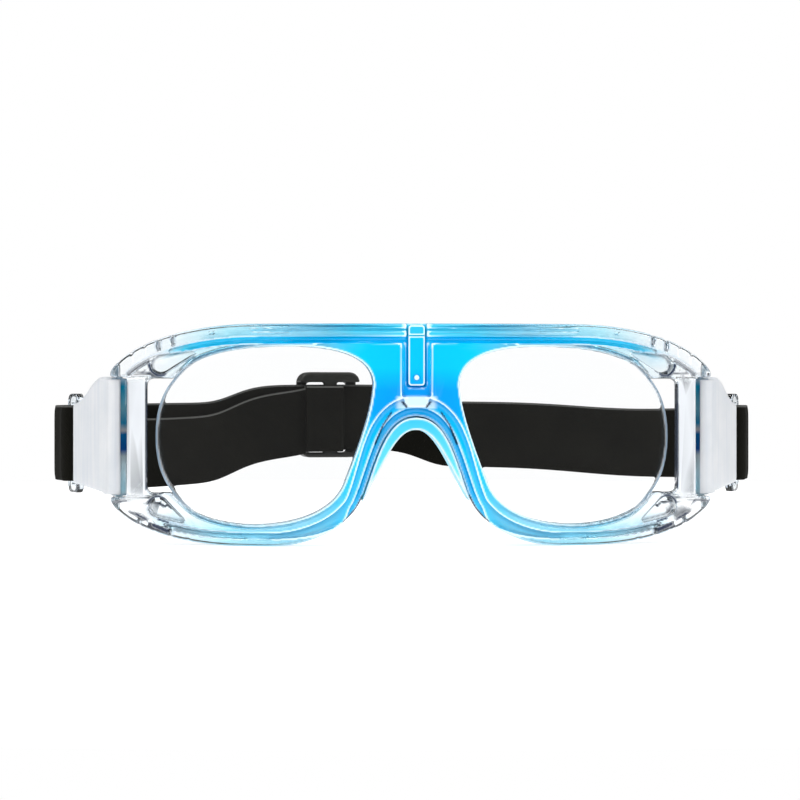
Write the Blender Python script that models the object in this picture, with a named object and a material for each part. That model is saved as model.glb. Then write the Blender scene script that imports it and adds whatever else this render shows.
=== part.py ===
"""Sports protective goggles: a wrapped clear front with a tinted bridge, two clear lenses, a soft
nose pad, a hinged temple arm in a soft sleeve on each side, and an elastic head strap with a slider.

Lengths are in metres. The front faces -Y, +Z is up and the wearer's left is at +X. Everything is laid
out with the front of the bridge at Y = 0, then moved so that the origin is under the middle of the
whole object.
"""
import bpy
import bmesh
from math import asin, atan2, cos, exp, floor, pi, radians, sin, sqrt
from mathutils import Vector

MM = 0.001

# ---- clearances ----
GAP = 0.3 * MM              # between solids that touch on the real object
SLOT_GAP = 0.6 * MM         # between the strap and the slot that it runs through
CUT_OVERRUN = 2.0 * MM      # how far a cutter stands out of what it cuts

# ---- front frame ----
FRAME_WIDTH = 155.0 * MM
FRAME_HEIGHT = 56.0 * MM
WRAP_RADIUS = 170.0 * MM    # bend of the front round the face, seen from above
RIM_DEPTH = 9.0 * MM
TOP_RIM = 5.7 * MM
BOTTOM_RIM = 5.3 * MM
BRIDGE_WIDTH = 21.6 * MM
FOOT_CENTRE = 40.0 * MM     # middle of the flat that each lower rim stands on
FOOT_WIDTH = 8.0 * MM
BRIDGE_HEIGHT = 23.3 * MM   # from the nose arch in the frame to the top edge
LEG_TIP_X = 13.9 * MM       # where each nose leg ends
LEG_TIP_Z = 11.5 * MM
CORNER_RUN = 37.0 * MM      # length of the upper corner's curve
CORNER_DROP = 12.0 * MM     # from the top edge to the upper ear's lower corner
LOWER_EAR_Z = 11.1 * MM     # height of the lower ear's outer corner

# ---- how far each curve of the outline is pulled from its ends ----
CORNER_TOP_PULL = 16.0 * MM
CORNER_SIDE_PULL_X = 4.5 * MM
CORNER_SIDE_PULL_Z = 7.7 * MM
LOWER_EAR_PULL_X = 2.5 * MM
LOWER_EAR_PULL_Z = 5.5 * MM
FOOT_OUTER_PULL = 18.0 * MM
FOOT_INNER_PULL = 8.0 * MM
LEG_TIP_PULL_X = 3.4 * MM
LEG_TIP_PULL_Z = 7.3 * MM
ARCH_SIDE_PULL_X = 3.9 * MM
ARCH_SIDE_PULL_Z = 10.5 * MM
ARCH_TOP_PULL = 8.0 * MM

# ---- grooves and pockets in the front ----
RIDGE_WIDTH = 3.5 * MM
WEB_WIDTH = 1.5 * MM
WEB_DEPTH = 1.4 * MM
WEB_END = 14.0 * MM         # the top groove stops this far from the frame's side
POCKET_DEPTH = 6.0 * MM
POCKET_RADIUS = 2.2 * MM
POCKET_TAIL = 10.5 * MM
UPPER_POCKET_DROP = 10.2 * MM
LOWER_POCKET_Z = 9.6 * MM
POCKET_FROM_POST = 3.4 * MM
LOWER_POCKET_SHIFT = 0.6 * MM   # the lower pocket is this much nearer to the post
LOWER_TAIL_SHARE = 0.75         # its tail against the upper one's
UPPER_TAIL_RISE = 3.6 * MM
LOWER_TAIL_DROP = 4.4 * MM

# ---- lenses ----
LENS_THICKNESS = 2.0 * MM
LENS_SETBACK = 3.4 * MM     # from the rim's front to the lens's front
LENS_GROOVE = 1.0 * MM      # how far the rim holds over the lens
GRIP_FADE_START = 13.0 * MM  # the rim's hold on the lens fades out from here to the post
GRIP_FADE = 6.0 * MM
# The lens's outline as curves, in shares of its width and height: start, and the two pulls.
LENS_CURVES = (
    ((0, 0.782), (0, 0.938), (0.15, 1)),
    ((0.39, 1), (0.783, 1), (1, 0.882)),
    ((1, 0.493), (1, 0.149), (0.81, 0)),
    ((0.535, 0), (0.333, 0.007), (0.178, 0.087)),
    ((0.132, 0.231), (0.077, 0.409), (0.009, 0.616)),
)
VENT_GAP = 2.0 * MM         # open air slot between the lens and the side post
VENT_DROP = 13.7 * MM       # from the frame's top to the slot's upper end
VENT_BOTTOM = 13.2 * MM
VENT_ROUND = 1.5 * MM
VENT_INTO_EYE = 8.0 * MM    # how far the slot's cutter reaches into the eye opening

# ---- side posts and hinges ----
POST_WIDTH = 5.2 * MM
POST_DEPTH = 5.0 * MM
EAR_REACH = 4.4 * MM        # how far the ears stand out past the post
NOTCH_BOTTOM = 11.9 * MM
NOTCH_DROP = 13.3 * MM      # from the frame's top to the notch between the ears
NOTCH_ROUND = 0.5 * MM
RELIEF_REACH = 3.0 * MM     # how far the relief behind the post reaches past it, inwards
KNUCKLE_RADIUS = 2.0 * MM
PIN_RADIUS = 0.9 * MM
PIN_GRIP = 3.0 * MM         # length of pin in each ear
HINGE_SETBACK = 4.6 * MM    # from the front surface to the hinge axis

# ---- temple arms and their sleeves ----
ARM_SPLAY = radians(26.0)
ARM_THICKNESS = 2.2 * MM
ARM_DROP = 2.0 * MM         # from the middle of the notch to the middle of the strap loop
SLEEVE_START = 3.4 * MM
SLEEVE_END = 26.0 * MM
SLEEVE_THICKNESS = 5.2 * MM
SLEEVE_MARGIN = 0.6 * MM    # between the sleeve's front and the ears, above and below
SLEEVE_WALL = 2.2 * MM      # soft material above and below the arm's plate
SLEEVE_REAR = 21.2 * MM
LOOP_BAR = 3.0 * MM         # width of the strap loop's rear bar
LOOP_RAIL = 2.6 * MM        # height of the loop above and below the strap slot
LOOP_FRONT = 1.4 * MM       # loop material between the sleeve and the slot
LOOP_ROUND = 2.0 * MM
LOOP_CHAMFER = 1.0 * MM
SLOT_ROUND = 0.4 * MM
SLEEVE_PULL_FRONT = 0.45    # of the sleeve's length, for the S-curve of its top
SLEEVE_PULL_REAR = 0.4

# ---- nose pad and bridge clip ----
PAD_TOP_THICKNESS = 3.0 * MM
PAD_TIP_THICKNESS = 0.9 * MM
PAD_FRONT = 0.8 * MM
PAD_DEPTH = 12.0 * MM
CLIP_WIDTH = 4.1 * MM
CLIP_FROM_ARCH = 7.7 * MM
CLIP_TOP_MARGIN = 0.5 * MM
CLIP_CHANNEL_WIDTH = 7.4 * MM
CLIP_CHANNEL_FROM_ARCH = 4.7 * MM
CLIP_CHANNEL_DEPTH = 1.8 * MM
CLIP_FRONT = 0.2 * MM
CLIP_ROUND = 1.0 * MM

# ---- strap and slider ----
STRAP_WIDTH = 20.0 * MM
STRAP_THICKNESS = 1.3 * MM
STRAP_LEG = 11.0 * MM       # straight run behind each arm before the strap curves round the head
STRAP_END_LENGTH = 14.5 * MM  # part of the strap that turns with each arm
STRAP_BREAK = 3.4 * MM      # room between the turning part and the band behind it
STRAP_FLARE = 2.6 * MM      # how far the strap bows out past the bar of each arm
STRAP_BACK_RISE = 1.0 * MM  # how much higher the strap runs at the back than at the arms
STRAP_RISE = 5.2 * MM       # how far the strap climbs to the slider
STRAP_RISE_SPAN = 31.0 * MM
RETURN_GAP = 3.6 * MM       # between the centres of the strap's two layers, near the slider
RETURN_SAG = 3.0 * MM       # how far the inner layer hangs below the outer one
RETURN_SAG_START = 0.04     # of a half wave, so that the layer's ends hang a little too
RETURN_BREAK = 1.8 * MM     # between the inner layer's end and the slider at its nearest
SLIDER_X = -18.5 * MM
SLIDER_LENGTH = 18.8 * MM
SLIDER_RAIL = 1.2 * MM
SLIDER_BAR = 4.0 * MM
SLIDER_BAR_THICKNESS = 1.6 * MM
SLIDER_END_BAR = 3.0 * MM
SLIDER_PLAY_Z = 1.95 * MM   # room above and below the strap, which climbs inside the slider
SLIDER_LIFT = 0.8 * MM      # how far the slider sits above the strap's middle
SLIDER_TRAVEL = radians(7.0)
SLIDER_LOOP_LEG = 8.0 * MM
SLIDER_LOOP_DRIFT = 0.4 * MM    # how far the legs lie inside the curve of the strap

# ---- mesh fineness ----
CURVE_STEPS = 9
WRAP_STEP = 5.5 * MM
ROUND_STEPS = 24
STRAP_STEP = radians(5.0)

SIDES = {"left": 1, "right": -1}

# ---- worked out from the driving dimensions ----
HALF_WIDTH = FRAME_WIDTH / 2
POST_OUTER = HALF_WIDTH - EAR_REACH
POST_INNER = POST_OUTER - POST_WIDTH
LENS_OUTER = POST_INNER - VENT_GAP
LENS_INNER = BRIDGE_WIDTH / 2
LENS_TOP = FRAME_HEIGHT - TOP_RIM
LENS_BOTTOM = BOTTOM_RIM
HINGE_X = POST_OUTER + GAP + KNUCKLE_RADIUS
ARCH_TOP = FRAME_HEIGHT - BRIDGE_HEIGHT
CLIP_BOTTOM = ARCH_TOP + CLIP_FROM_ARCH
CLIP_CHANNEL_BOTTOM = ARCH_TOP + CLIP_CHANNEL_FROM_ARCH
VENT_TOP = FRAME_HEIGHT - VENT_DROP
NOTCH_TOP = FRAME_HEIGHT - NOTCH_DROP
NOTCH_MIDDLE = (NOTCH_BOTTOM + NOTCH_TOP) / 2
ARM_CENTRE_Z = NOTCH_MIDDLE - ARM_DROP
SLEEVE_FRONT = NOTCH_TOP - NOTCH_BOTTOM - 2 * SLEEVE_MARGIN
ARM_PLATE_FRONT = SLEEVE_FRONT - 2 * SLEEVE_WALL
ARM_PLATE_REAR = SLEEVE_REAR - 2 * SLEEVE_WALL
SLOT_WIDTH = STRAP_THICKNESS + 2 * SLOT_GAP
SLOT_START = SLEEVE_END + LOOP_FRONT
BAR_CENTRE = SLOT_START + SLOT_WIDTH + LOOP_BAR / 2
ARM_END = BAR_CENTRE + LOOP_BAR / 2
BEND_RADIUS = LOOP_BAR / 2 + SLOT_GAP + STRAP_THICKNESS / 2
LOOP_HEIGHT = STRAP_WIDTH + 2 * SLOT_GAP + 2 * LOOP_RAIL


def wrap_offset(x):
    """Y of the front surface at x: flat facets between stations, so that wrapped faces are flat."""
    def bend(station):
        return WRAP_RADIUS - sqrt(WRAP_RADIUS ** 2 - station ** 2)
    low = floor(x / WRAP_STEP) * WRAP_STEP
    share = (x - low) / WRAP_STEP
    return bend(low) * (1 - share) + bend(low + WRAP_STEP) * share


HINGE_Y = wrap_offset(HINGE_X) + HINGE_SETBACK
BAR_X = HINGE_X + BAR_CENTRE * sin(ARM_SPLAY)
BAR_Y = HINGE_Y + BAR_CENTRE * cos(ARM_SPLAY)
STRAP_RADIUS = BAR_X + BEND_RADIUS + STRAP_FLARE
STRAP_CENTRE_Y = BAR_Y + STRAP_LEG
SLIDER_ANGLE = asin(SLIDER_X / STRAP_RADIUS)


# ---- outlines, as lists of (x, z) ----
def bezier(p0, p1, p2, p3, steps=CURVE_STEPS):
    """Points of a cubic curve, without the last one, so that curves can be chained."""
    points = []
    for i in range(steps):
        t = i / steps
        s = 1 - t
        weights = (s ** 3, 3 * s * s * t, 3 * s * t * t, t ** 3)
        points.append(tuple(sum(w * p[k] for w, p in zip(weights, (p0, p1, p2, p3))) for k in (0, 1)))
    return points


def arc(centre, radius, start, end, steps):
    return [(centre[0] + radius * cos(start + (end - start) * i / steps),
             centre[1] + radius * sin(start + (end - start) * i / steps)) for i in range(steps + 1)]


def top_edge():
    """Top of the frame, from the middle to the upper ear's outer corner."""
    start = (HALF_WIDTH - CORNER_RUN, FRAME_HEIGHT)
    end = (HALF_WIDTH, FRAME_HEIGHT - CORNER_DROP)
    curve = bezier(start, (start[0] + CORNER_TOP_PULL, FRAME_HEIGHT),
                   (end[0] - CORNER_SIDE_PULL_X, end[1] + CORNER_SIDE_PULL_Z), end)
    return [(0.0, FRAME_HEIGHT)] + curve + [end]


def bottom_edge():
    """Bottom of the frame, from the lower ear's outer corner to the tip of the nose leg."""
    foot_out = (FOOT_CENTRE + FOOT_WIDTH / 2, 0.0)
    foot_in = (FOOT_CENTRE - FOOT_WIDTH / 2, 0.0)
    ear = (HALF_WIDTH, LOWER_EAR_Z)
    tip = (LEG_TIP_X, LEG_TIP_Z)
    outer = bezier(ear, (ear[0] - LOWER_EAR_PULL_X, ear[1] - LOWER_EAR_PULL_Z),
                   (foot_out[0] + FOOT_OUTER_PULL, 0.0), foot_out)
    inner = bezier(foot_in, (foot_in[0] - FOOT_INNER_PULL, 0.0),
                   (tip[0] + LEG_TIP_PULL_X, tip[1] - LEG_TIP_PULL_Z), tip)
    return outer + [foot_out] + inner


def arch_edge(inset=0.0):
    """Nose arch, from the tip of the leg to the top of the arch; inset narrows it."""
    tip = (LEG_TIP_X, LEG_TIP_Z)
    top = (0.0, ARCH_TOP)
    points = bezier(tip, (tip[0] - ARCH_SIDE_PULL_X, tip[1] + ARCH_SIDE_PULL_Z),
                    (ARCH_TOP_PULL, ARCH_TOP), top)
    return offset_open(points + [top], lambda share: inset)


def offset_open(points, distance_at):
    """An open outline moved to the right of its direction by distance_at(share of its length)."""
    last = len(points) - 1
    moved = []
    for i, (x, z) in enumerate(points):
        ahead = points[min(i + 1, last)]
        behind = points[max(i - 1, 0)]
        dx, dz = ahead[0] - behind[0], ahead[1] - behind[1]
        if i == last:
            dx, dz = dx or -1.0, 0.0
        length = sqrt(dx * dx + dz * dz)
        distance = distance_at(i / last)
        moved.append((x - distance * dz / length, z + distance * dx / length))
    return moved


def mirrored(half):
    """A whole outline from its half at +X, whose first and last points lie on the middle plane."""
    return half + [(-x, z) for x, z in reversed(half[1:-1])]


def frame_outline():
    return mirrored(top_edge() + bottom_edge() + arch_edge())


def lens_edge():
    """The left lens's visible outline: the rim's edge, and the lens's own edge at the vent."""
    width = LENS_OUTER - LENS_INNER
    height = LENS_TOP - LENS_BOTTOM

    def at(x_share, z_share):
        return (LENS_INNER + width * x_share, LENS_BOTTOM + height * z_share)

    points = []
    for i, curve in enumerate(LENS_CURVES):
        following = LENS_CURVES[(i + 1) % len(LENS_CURVES)][0]
        points += bezier(*(at(*share) for share in (*curve, following)))
    return points


def grown(outline, distance_at):
    """A closed outline grown by distance_at(x, z) along its own normals."""
    area = sum(a[0] * b[1] - b[0] * a[1] for a, b in zip(outline, outline[1:] + outline[:1]))
    turn = 1 if area > 0 else -1
    points = []
    for i, (x, z) in enumerate(outline):
        ahead, behind = outline[(i + 1) % len(outline)], outline[i - 1]
        dx, dz = ahead[0] - behind[0], ahead[1] - behind[1]
        length = sqrt(dx * dx + dz * dz)
        distance = distance_at(x, z) * turn
        points.append((x + distance * dz / length, z - distance * dx / length))
    return points


def lens_outline():
    """The lens with the border that the rim holds, which fades out at the vent."""
    fade_start = POST_INNER - GRIP_FADE_START

    def border(x, z):
        return LENS_GROOVE * (1 - min(max((x - fade_start) / GRIP_FADE, 0.0), 1.0))

    return grown(lens_edge(), border)


def teardrop(centre, radius, tip):
    """A round pocket with a pointed tail."""
    dx, dz = tip[0] - centre[0], tip[1] - centre[1]
    reach = sqrt(dx * dx + dz * dz)
    heading = atan2(dz, dx)
    spread = asin(min(radius / reach, 1.0))
    start = heading + pi / 2 - spread
    return arc(centre, radius, start, heading + 3 * pi / 2 + spread, ROUND_STEPS // 2) + [tip]


def rounded_box(x0, x1, z0, z1, radius):
    corners = ((x1 - radius, z1 - radius, 0), (x0 + radius, z1 - radius, pi / 2),
               (x0 + radius, z0 + radius, pi), (x1 - radius, z0 + radius, 3 * pi / 2))
    points = []
    for x, z, start in corners:
        points += arc((x, z), radius, start, start + pi / 2, 3)
    return points


# ---- solids ----
def new_object(name, bm, material=None):
    bmesh.ops.recalc_face_normals(bm, faces=bm.faces)
    mesh = bpy.data.meshes.new(name)
    bm.to_mesh(mesh)
    bm.free()
    obj = bpy.data.objects.new(name, mesh)
    bpy.context.scene.collection.objects.link(obj)
    obj.parent = goggles
    if material:
        mesh.materials.append(material)
    return obj


def plate(name, outline, y_front, y_back, material=None, wrapped=True):
    """An outline in the XZ plane given depth along Y, bent round the face if wrapped."""
    bm = bmesh.new()
    bm.faces.new([bm.verts.new((x, 0.0, z)) for x, z in outline])
    if wrapped:
        low = min(x for x, z in outline)
        high = max(x for x, z in outline)
        for i in range(floor(low / WRAP_STEP) + 1, floor(high / WRAP_STEP) + 1):
            bmesh.ops.bisect_plane(bm, geom=bm.verts[:] + bm.edges[:] + bm.faces[:], dist=1e-7,
                                   plane_co=(i * WRAP_STEP, 0, 0), plane_no=(1, 0, 0))
    front = list(bm.verts)
    result = bmesh.ops.extrude_face_region(bm, geom=bm.faces[:], use_keep_orig=True)
    back = [v for v in result["geom"] if isinstance(v, bmesh.types.BMVert)]
    for vert in front:
        vert.co.y = y_front
    for vert in back:
        vert.co.y = y_back
    if wrapped:
        for vert in bm.verts:
            vert.co.y += wrap_offset(vert.co.x)
    return new_object(name, bm, material)


def sided(outline, side):
    return [(x * side, z) for x, z in outline]


def upright_cylinder(name, x, y, z0, z1, radius, material=None):
    bm = bmesh.new()
    rings = []
    for z in (z0, z1):
        ring = arc((x, y), radius, 0, 2 * pi * (1 - 1 / ROUND_STEPS), ROUND_STEPS - 1)
        rings.append([bm.verts.new((px, py, z)) for px, py in ring])
    bm.faces.new(rings[0])
    bm.faces.new(rings[1])
    for i in range(ROUND_STEPS):
        j = (i + 1) % ROUND_STEPS
        bm.faces.new((rings[0][i], rings[0][j], rings[1][j], rings[1][i]))
    obj = new_object(name, bm, material)
    obj.data.shade_smooth()
    obj.data.set_sharp_from_angle(angle=radians(40))
    return obj


def combine(target, other, operation):
    """A Boolean on target; other stays in the scene as a hidden guide."""
    modifier = target.modifiers.new(other.name, "BOOLEAN")
    modifier.operation = operation
    modifier.solver = "EXACT"
    modifier.object = other
    other.hide_render = True
    other.display_type = "WIRE"


def cut(target, other):
    combine(target, other, "DIFFERENCE")


def ribbon(name, path, material, width=STRAP_WIDTH):
    """Flat webbing on edge along a path of (x, y, z) centre points."""
    bm = bmesh.new()
    sections = []
    for i, point in enumerate(path):
        ahead = Vector(path[min(i + 1, len(path) - 1)])
        behind = Vector(path[max(i - 1, 0)])
        along = ahead - behind
        across = Vector((along.y, -along.x, 0)).normalized() * STRAP_THICKNESS / 2
        up = Vector((0, 0, width / 2))
        centre = Vector(point)
        corners = (centre + across + up, centre - across + up, centre - across - up, centre + across - up)
        sections.append([bm.verts.new(corner) for corner in corners])
    for first, second in zip(sections, sections[1:]):
        for i in range(4):
            j = (i + 1) % 4
            bm.faces.new((first[i], first[j], second[j], second[i]))
    bm.faces.new(sections[0])
    bm.faces.new(sections[-1])
    return new_object(name, bm, material)


def make_material(name, colour, roughness, alpha=1.0):
    material = bpy.data.materials.new(name)
    material.use_nodes = True
    shader = material.node_tree.nodes["Principled BSDF"]
    shader.inputs["Base Color"].default_value = (*colour, 1.0)
    shader.inputs["Roughness"].default_value = roughness
    shader.inputs["Metallic"].default_value = 0.0
    shader.inputs["Alpha"].default_value = alpha
    return material


# ---- the parts ----
def build_front_frame(material):
    frame = plate("front_frame", frame_outline(), 0.0, RIM_DEPTH, material)
    through = (-CUT_OVERRUN, RIM_DEPTH + CUT_OVERRUN)
    for word, side in SIDES.items():
        eye = plate("cut_eye_" + word, sided(lens_edge(), side), *through)
        cut(frame, eye)
        vent_start = LENS_OUTER - VENT_INTO_EYE
        vent = rounded_box(vent_start, POST_INNER, VENT_BOTTOM, VENT_TOP, VENT_ROUND)
        cut(frame, plate("cut_vent_" + word, sided(vent, side), *through))
        groove = sided(grown(lens_outline(), lambda x, z: GAP), side)
        groove_depth = (LENS_SETBACK - GAP, LENS_SETBACK + LENS_THICKNESS + GAP)
        cut(frame, plate("cut_lens_groove_" + word, groove, *groove_depth))
        cut_hinge(frame, word, side, through)
        cut_pockets(frame, word, side)
    top = top_edge()
    reach = [point for point in top if point[0] <= HALF_WIDTH - WEB_END]
    outer_line = mirrored_open(offset_open(reach, lambda share: -RIDGE_WIDTH))
    inner_line = mirrored_open(offset_open(reach, lambda share: -RIDGE_WIDTH - WEB_WIDTH))
    web = outer_line + list(reversed(inner_line))
    cut(frame, plate("cut_top_groove", web, -CUT_OVERRUN, WEB_DEPTH))
    channel = [(CLIP_CHANNEL_WIDTH / 2 * sx, z) for sx, z in
               ((-1, CLIP_CHANNEL_BOTTOM), (1, CLIP_CHANNEL_BOTTOM),
                (1, FRAME_HEIGHT + CUT_OVERRUN), (-1, FRAME_HEIGHT + CUT_OVERRUN))]
    cut(frame, plate("cut_clip_channel", channel, -CUT_OVERRUN, CLIP_CHANNEL_DEPTH))
    return frame


def mirrored_open(half):
    """An open line over the middle, from its half at +X that starts on the middle plane."""
    return [(-x, z) for x, z in reversed(half[1:])] + half


def cut_hinge(frame, word, side, through):
    """The notch between the ears, the relief behind the post and the pin's hole."""
    out = HALF_WIDTH + CUT_OVERRUN
    notch = rounded_box(POST_OUTER, out, NOTCH_BOTTOM, NOTCH_TOP, NOTCH_ROUND)
    cut(frame, plate("cut_notch_" + word, sided(notch, side), *through))
    relief = rounded_box(POST_INNER - RELIEF_REACH, out, NOTCH_BOTTOM, NOTCH_TOP, NOTCH_ROUND)
    cut(frame, plate("cut_relief_" + word, sided(relief, side), POST_DEPTH, through[1]))
    cut(frame, upright_cylinder("cut_pin_hole_" + word, HINGE_X * side, HINGE_Y,
                                -CUT_OVERRUN, FRAME_HEIGHT, PIN_RADIUS + GAP))


def cut_pockets(frame, word, side):
    """Round pockets with a tail, between the rim's lip and its outer ridge."""
    x = POST_INNER - POCKET_FROM_POST
    upper = (x, FRAME_HEIGHT - UPPER_POCKET_DROP)
    lower = (x + LOWER_POCKET_SHIFT, LOWER_POCKET_Z)
    upper_tip = (upper[0] - POCKET_TAIL, upper[1] + UPPER_TAIL_RISE)
    lower_tip = (lower[0] - LOWER_TAIL_SHARE * POCKET_TAIL, lower[1] - LOWER_TAIL_DROP)
    for place, centre, tip in (("upper", upper, upper_tip), ("lower", lower, lower_tip)):
        outline = sided(teardrop(centre, POCKET_RADIUS, tip), side)
        cut(frame, plate(f"cut_pocket_{place}_{word}", outline, -CUT_OVERRUN, POCKET_DEPTH))


def build_nose_pad(material):
    """Soft saddle in the nose arch, thickest at the top and thin at the tips of the legs."""
    outer = arch_edge(GAP)
    inner = offset_open(arch_edge(), lambda share: GAP + PAD_TIP_THICKNESS +
                        (PAD_TOP_THICKNESS - PAD_TIP_THICKNESS) * share)
    outline = mirrored_open(list(reversed(outer))) + list(reversed(mirrored_open(list(reversed(inner)))))
    return plate("nose_pad", outline, PAD_FRONT, PAD_FRONT + PAD_DEPTH, material)


def build_bridge_clip(material):
    half = CLIP_WIDTH / 2
    top = FRAME_HEIGHT - CLIP_TOP_MARGIN
    corner = half - CLIP_ROUND
    low = CLIP_BOTTOM + CLIP_ROUND
    outline = [(-half, top), (half, top)] + arc((corner, low), CLIP_ROUND, 0, -pi / 2, 4)
    outline += arc((-corner, low), CLIP_ROUND, -pi / 2, -pi, 4)
    return plate("bridge_clip", outline, CLIP_FRONT, CLIP_CHANNEL_DEPTH - GAP, material)


def build_lens(word, side, material):
    outline = sided(lens_outline(), side)
    return plate("lens_" + word, outline, LENS_SETBACK, LENS_SETBACK + LENS_THICKNESS, material)


def arm_plate_half_heights(u):
    """Half height of the arm's plate at u, which is measured back from the hinge axis."""
    share = min(max(u / SLEEVE_END, 0.0), 1.0)
    smooth = share * share * (3 - 2 * share)
    return (ARM_PLATE_FRONT * (1 - smooth) + ARM_PLATE_REAR * smooth) / 2


def arm_slab(name, outline, thickness, pivot, material=None):
    """An outline of (u, z) given thickness across the arm, in the arm's own frame."""
    bm = bmesh.new()
    bm.faces.new([bm.verts.new((-thickness / 2, u, z)) for u, z in outline])
    result = bmesh.ops.extrude_face_region(bm, geom=bm.faces[:], use_keep_orig=True)
    for vert in (v for v in result["geom"] if isinstance(v, bmesh.types.BMVert)):
        vert.co.x = thickness / 2
    obj = new_object(name, bm, material)
    obj.parent = pivot
    return obj


def sleeve_outline():
    """The sleeve from the side: an S-curve above, a straight slope below."""
    front = SLEEVE_FRONT / 2
    rear = SLEEVE_REAR / 2
    top_front = (SLEEVE_START, NOTCH_MIDDLE + front)
    top_rear = (SLEEVE_END, ARM_CENTRE_Z + rear)
    run = SLEEVE_END - SLEEVE_START
    upper = bezier(top_front, (SLEEVE_START + run * SLEEVE_PULL_FRONT, top_front[1]),
                   (SLEEVE_END - run * SLEEVE_PULL_REAR, top_rear[1]), top_rear) + [top_rear]
    return upper + [(SLEEVE_END, ARM_CENTRE_Z - rear), (SLEEVE_START, NOTCH_MIDDLE - front)]


def build_arm(word, side, pivot, clear, soft):
    knuckle_bottom, knuckle_top = NOTCH_BOTTOM + GAP, NOTCH_TOP - GAP
    arm = upright_cylinder("arm_" + word, 0, 0, knuckle_bottom, knuckle_top, KNUCKLE_RADIUS, clear)
    arm.parent = pivot
    samples = [SLEEVE_END * i / CURVE_STEPS for i in range(CURVE_STEPS + 1)]
    upper = [(u, ARM_CENTRE_Z + arm_plate_half_heights(u)) for u in samples]
    lower = [(u, ARM_CENTRE_Z - arm_plate_half_heights(u)) for u in reversed(samples)]
    loop_half = LOOP_HEIGHT / 2
    loop_start = SLEEVE_END + GAP
    neck = [(loop_start, upper[-1][1])]
    low, high = ARM_CENTRE_Z - loop_half, ARM_CENTRE_Z + loop_half
    round_u = ARM_END - LOOP_ROUND
    loop = [(loop_start, high - LOOP_CHAMFER), (loop_start + LOOP_CHAMFER, high)]
    loop += arc((round_u, high - LOOP_ROUND), LOOP_ROUND, pi / 2, 0, 4)
    loop += arc((round_u, low + LOOP_ROUND), LOOP_ROUND, 0, -pi / 2, 4)
    loop += [(loop_start + LOOP_CHAMFER, low), (loop_start, low + LOOP_CHAMFER)]
    outline = upper + neck + loop + [(loop_start, lower[0][1])] + lower
    blade = arm_slab("join_blade_" + word, outline, ARM_THICKNESS, pivot)
    combine(arm, blade, "UNION")
    slot_half = STRAP_WIDTH / 2 + SLOT_GAP
    slot = rounded_box(SLOT_START, SLOT_START + SLOT_WIDTH, ARM_CENTRE_Z - slot_half,
                       ARM_CENTRE_Z + slot_half, SLOT_ROUND)
    cut(arm, arm_slab("cut_strap_slot_" + word, slot, ARM_THICKNESS + 2 * CUT_OVERRUN, pivot))
    hole = upright_cylinder("cut_pin_bore_" + word, 0, 0, 0, FRAME_HEIGHT, PIN_RADIUS + GAP)
    hole.parent = pivot
    cut(arm, hole)

    sleeve = arm_slab("sleeve_" + word, sleeve_outline(), SLEEVE_THICKNESS, pivot, soft)
    pocket = [(u, z) for u, z in grown(upper + lower, lambda u, z: GAP)]
    pocket = [(u - CUT_OVERRUN if u < MM else u, z) for u, z in pocket]
    pocket = [(u + CUT_OVERRUN if u > SLEEVE_END - MM else u, z) for u, z in pocket]
    cut(sleeve, arm_slab("cut_sleeve_pocket_" + word, pocket, ARM_THICKNESS + 2 * GAP, pivot))


def build_pin(word, side, material):
    return upright_cylinder("hinge_pin_" + word, HINGE_X * side, HINGE_Y, NOTCH_BOTTOM - PIN_GRIP,
                            NOTCH_TOP + PIN_GRIP, PIN_RADIUS, material)


# ---- the strap ----
def strap_z(x):
    """Height of the strap's middle, which climbs a little to the back and more to the slider."""
    back = STRAP_BACK_RISE * (1 - (x / STRAP_RADIUS) ** 2)
    return ARM_CENTRE_Z + back + STRAP_RISE * exp(-((x - SLIDER_X) / STRAP_RISE_SPAN) ** 4)


def strap_point(angle, inward=0.0, sag=0.0):
    """A point on the strap's curve round the head; angle 0 is the middle of the back."""
    radius = STRAP_RADIUS - inward
    x = radius * sin(angle)
    return (x, STRAP_CENTRE_Y + radius * cos(angle), strap_z(x) - sag)


def strap_run(start, end, inward_at=lambda share: 0.0, sag_at=lambda share: 0.0):
    """Points along the strap; inward_at and sag_at take the share of the run."""
    steps = max(2, round(abs(end - start) / STRAP_STEP))
    points = []
    for i in range(steps + 1):
        share = i / steps
        points.append(strap_point(start + (end - start) * share, inward_at(share), sag_at(share)))
    return points


def band_start(inward):
    """Angle where a layer of the band begins, clear of the part that turns with the arm."""
    reach = STRAP_END_LENGTH + STRAP_BREAK - STRAP_LEG
    return pi / 2 - reach / (STRAP_RADIUS - inward)


def build_strap(pivots, material):
    full_gap = 2 * BEND_RADIUS + STRAP_FLARE
    start = band_start(0.0)
    ribbon("strap_band", strap_run(-start, start), material)

    return_start = -band_start(full_gap)
    slider_reach = max(SLIDER_LOOP_LEG, SLIDER_LENGTH / 2) + RETURN_BREAK
    return_end = SLIDER_ANGLE - SLIDER_TRAVEL - slider_reach / STRAP_RADIUS

    def inward(share):
        return full_gap + (RETURN_GAP - full_gap) * share

    def sag(share):
        wave = RETURN_SAG_START + (1 - 2 * RETURN_SAG_START) * share
        return RETURN_SAG * sqrt(sin(pi * wave))

    ribbon("strap_return", strap_run(return_start, return_end, inward, sag), material)
    for word, side in SIDES.items():
        build_strap_end(word, side, pivots[word], material)


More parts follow.
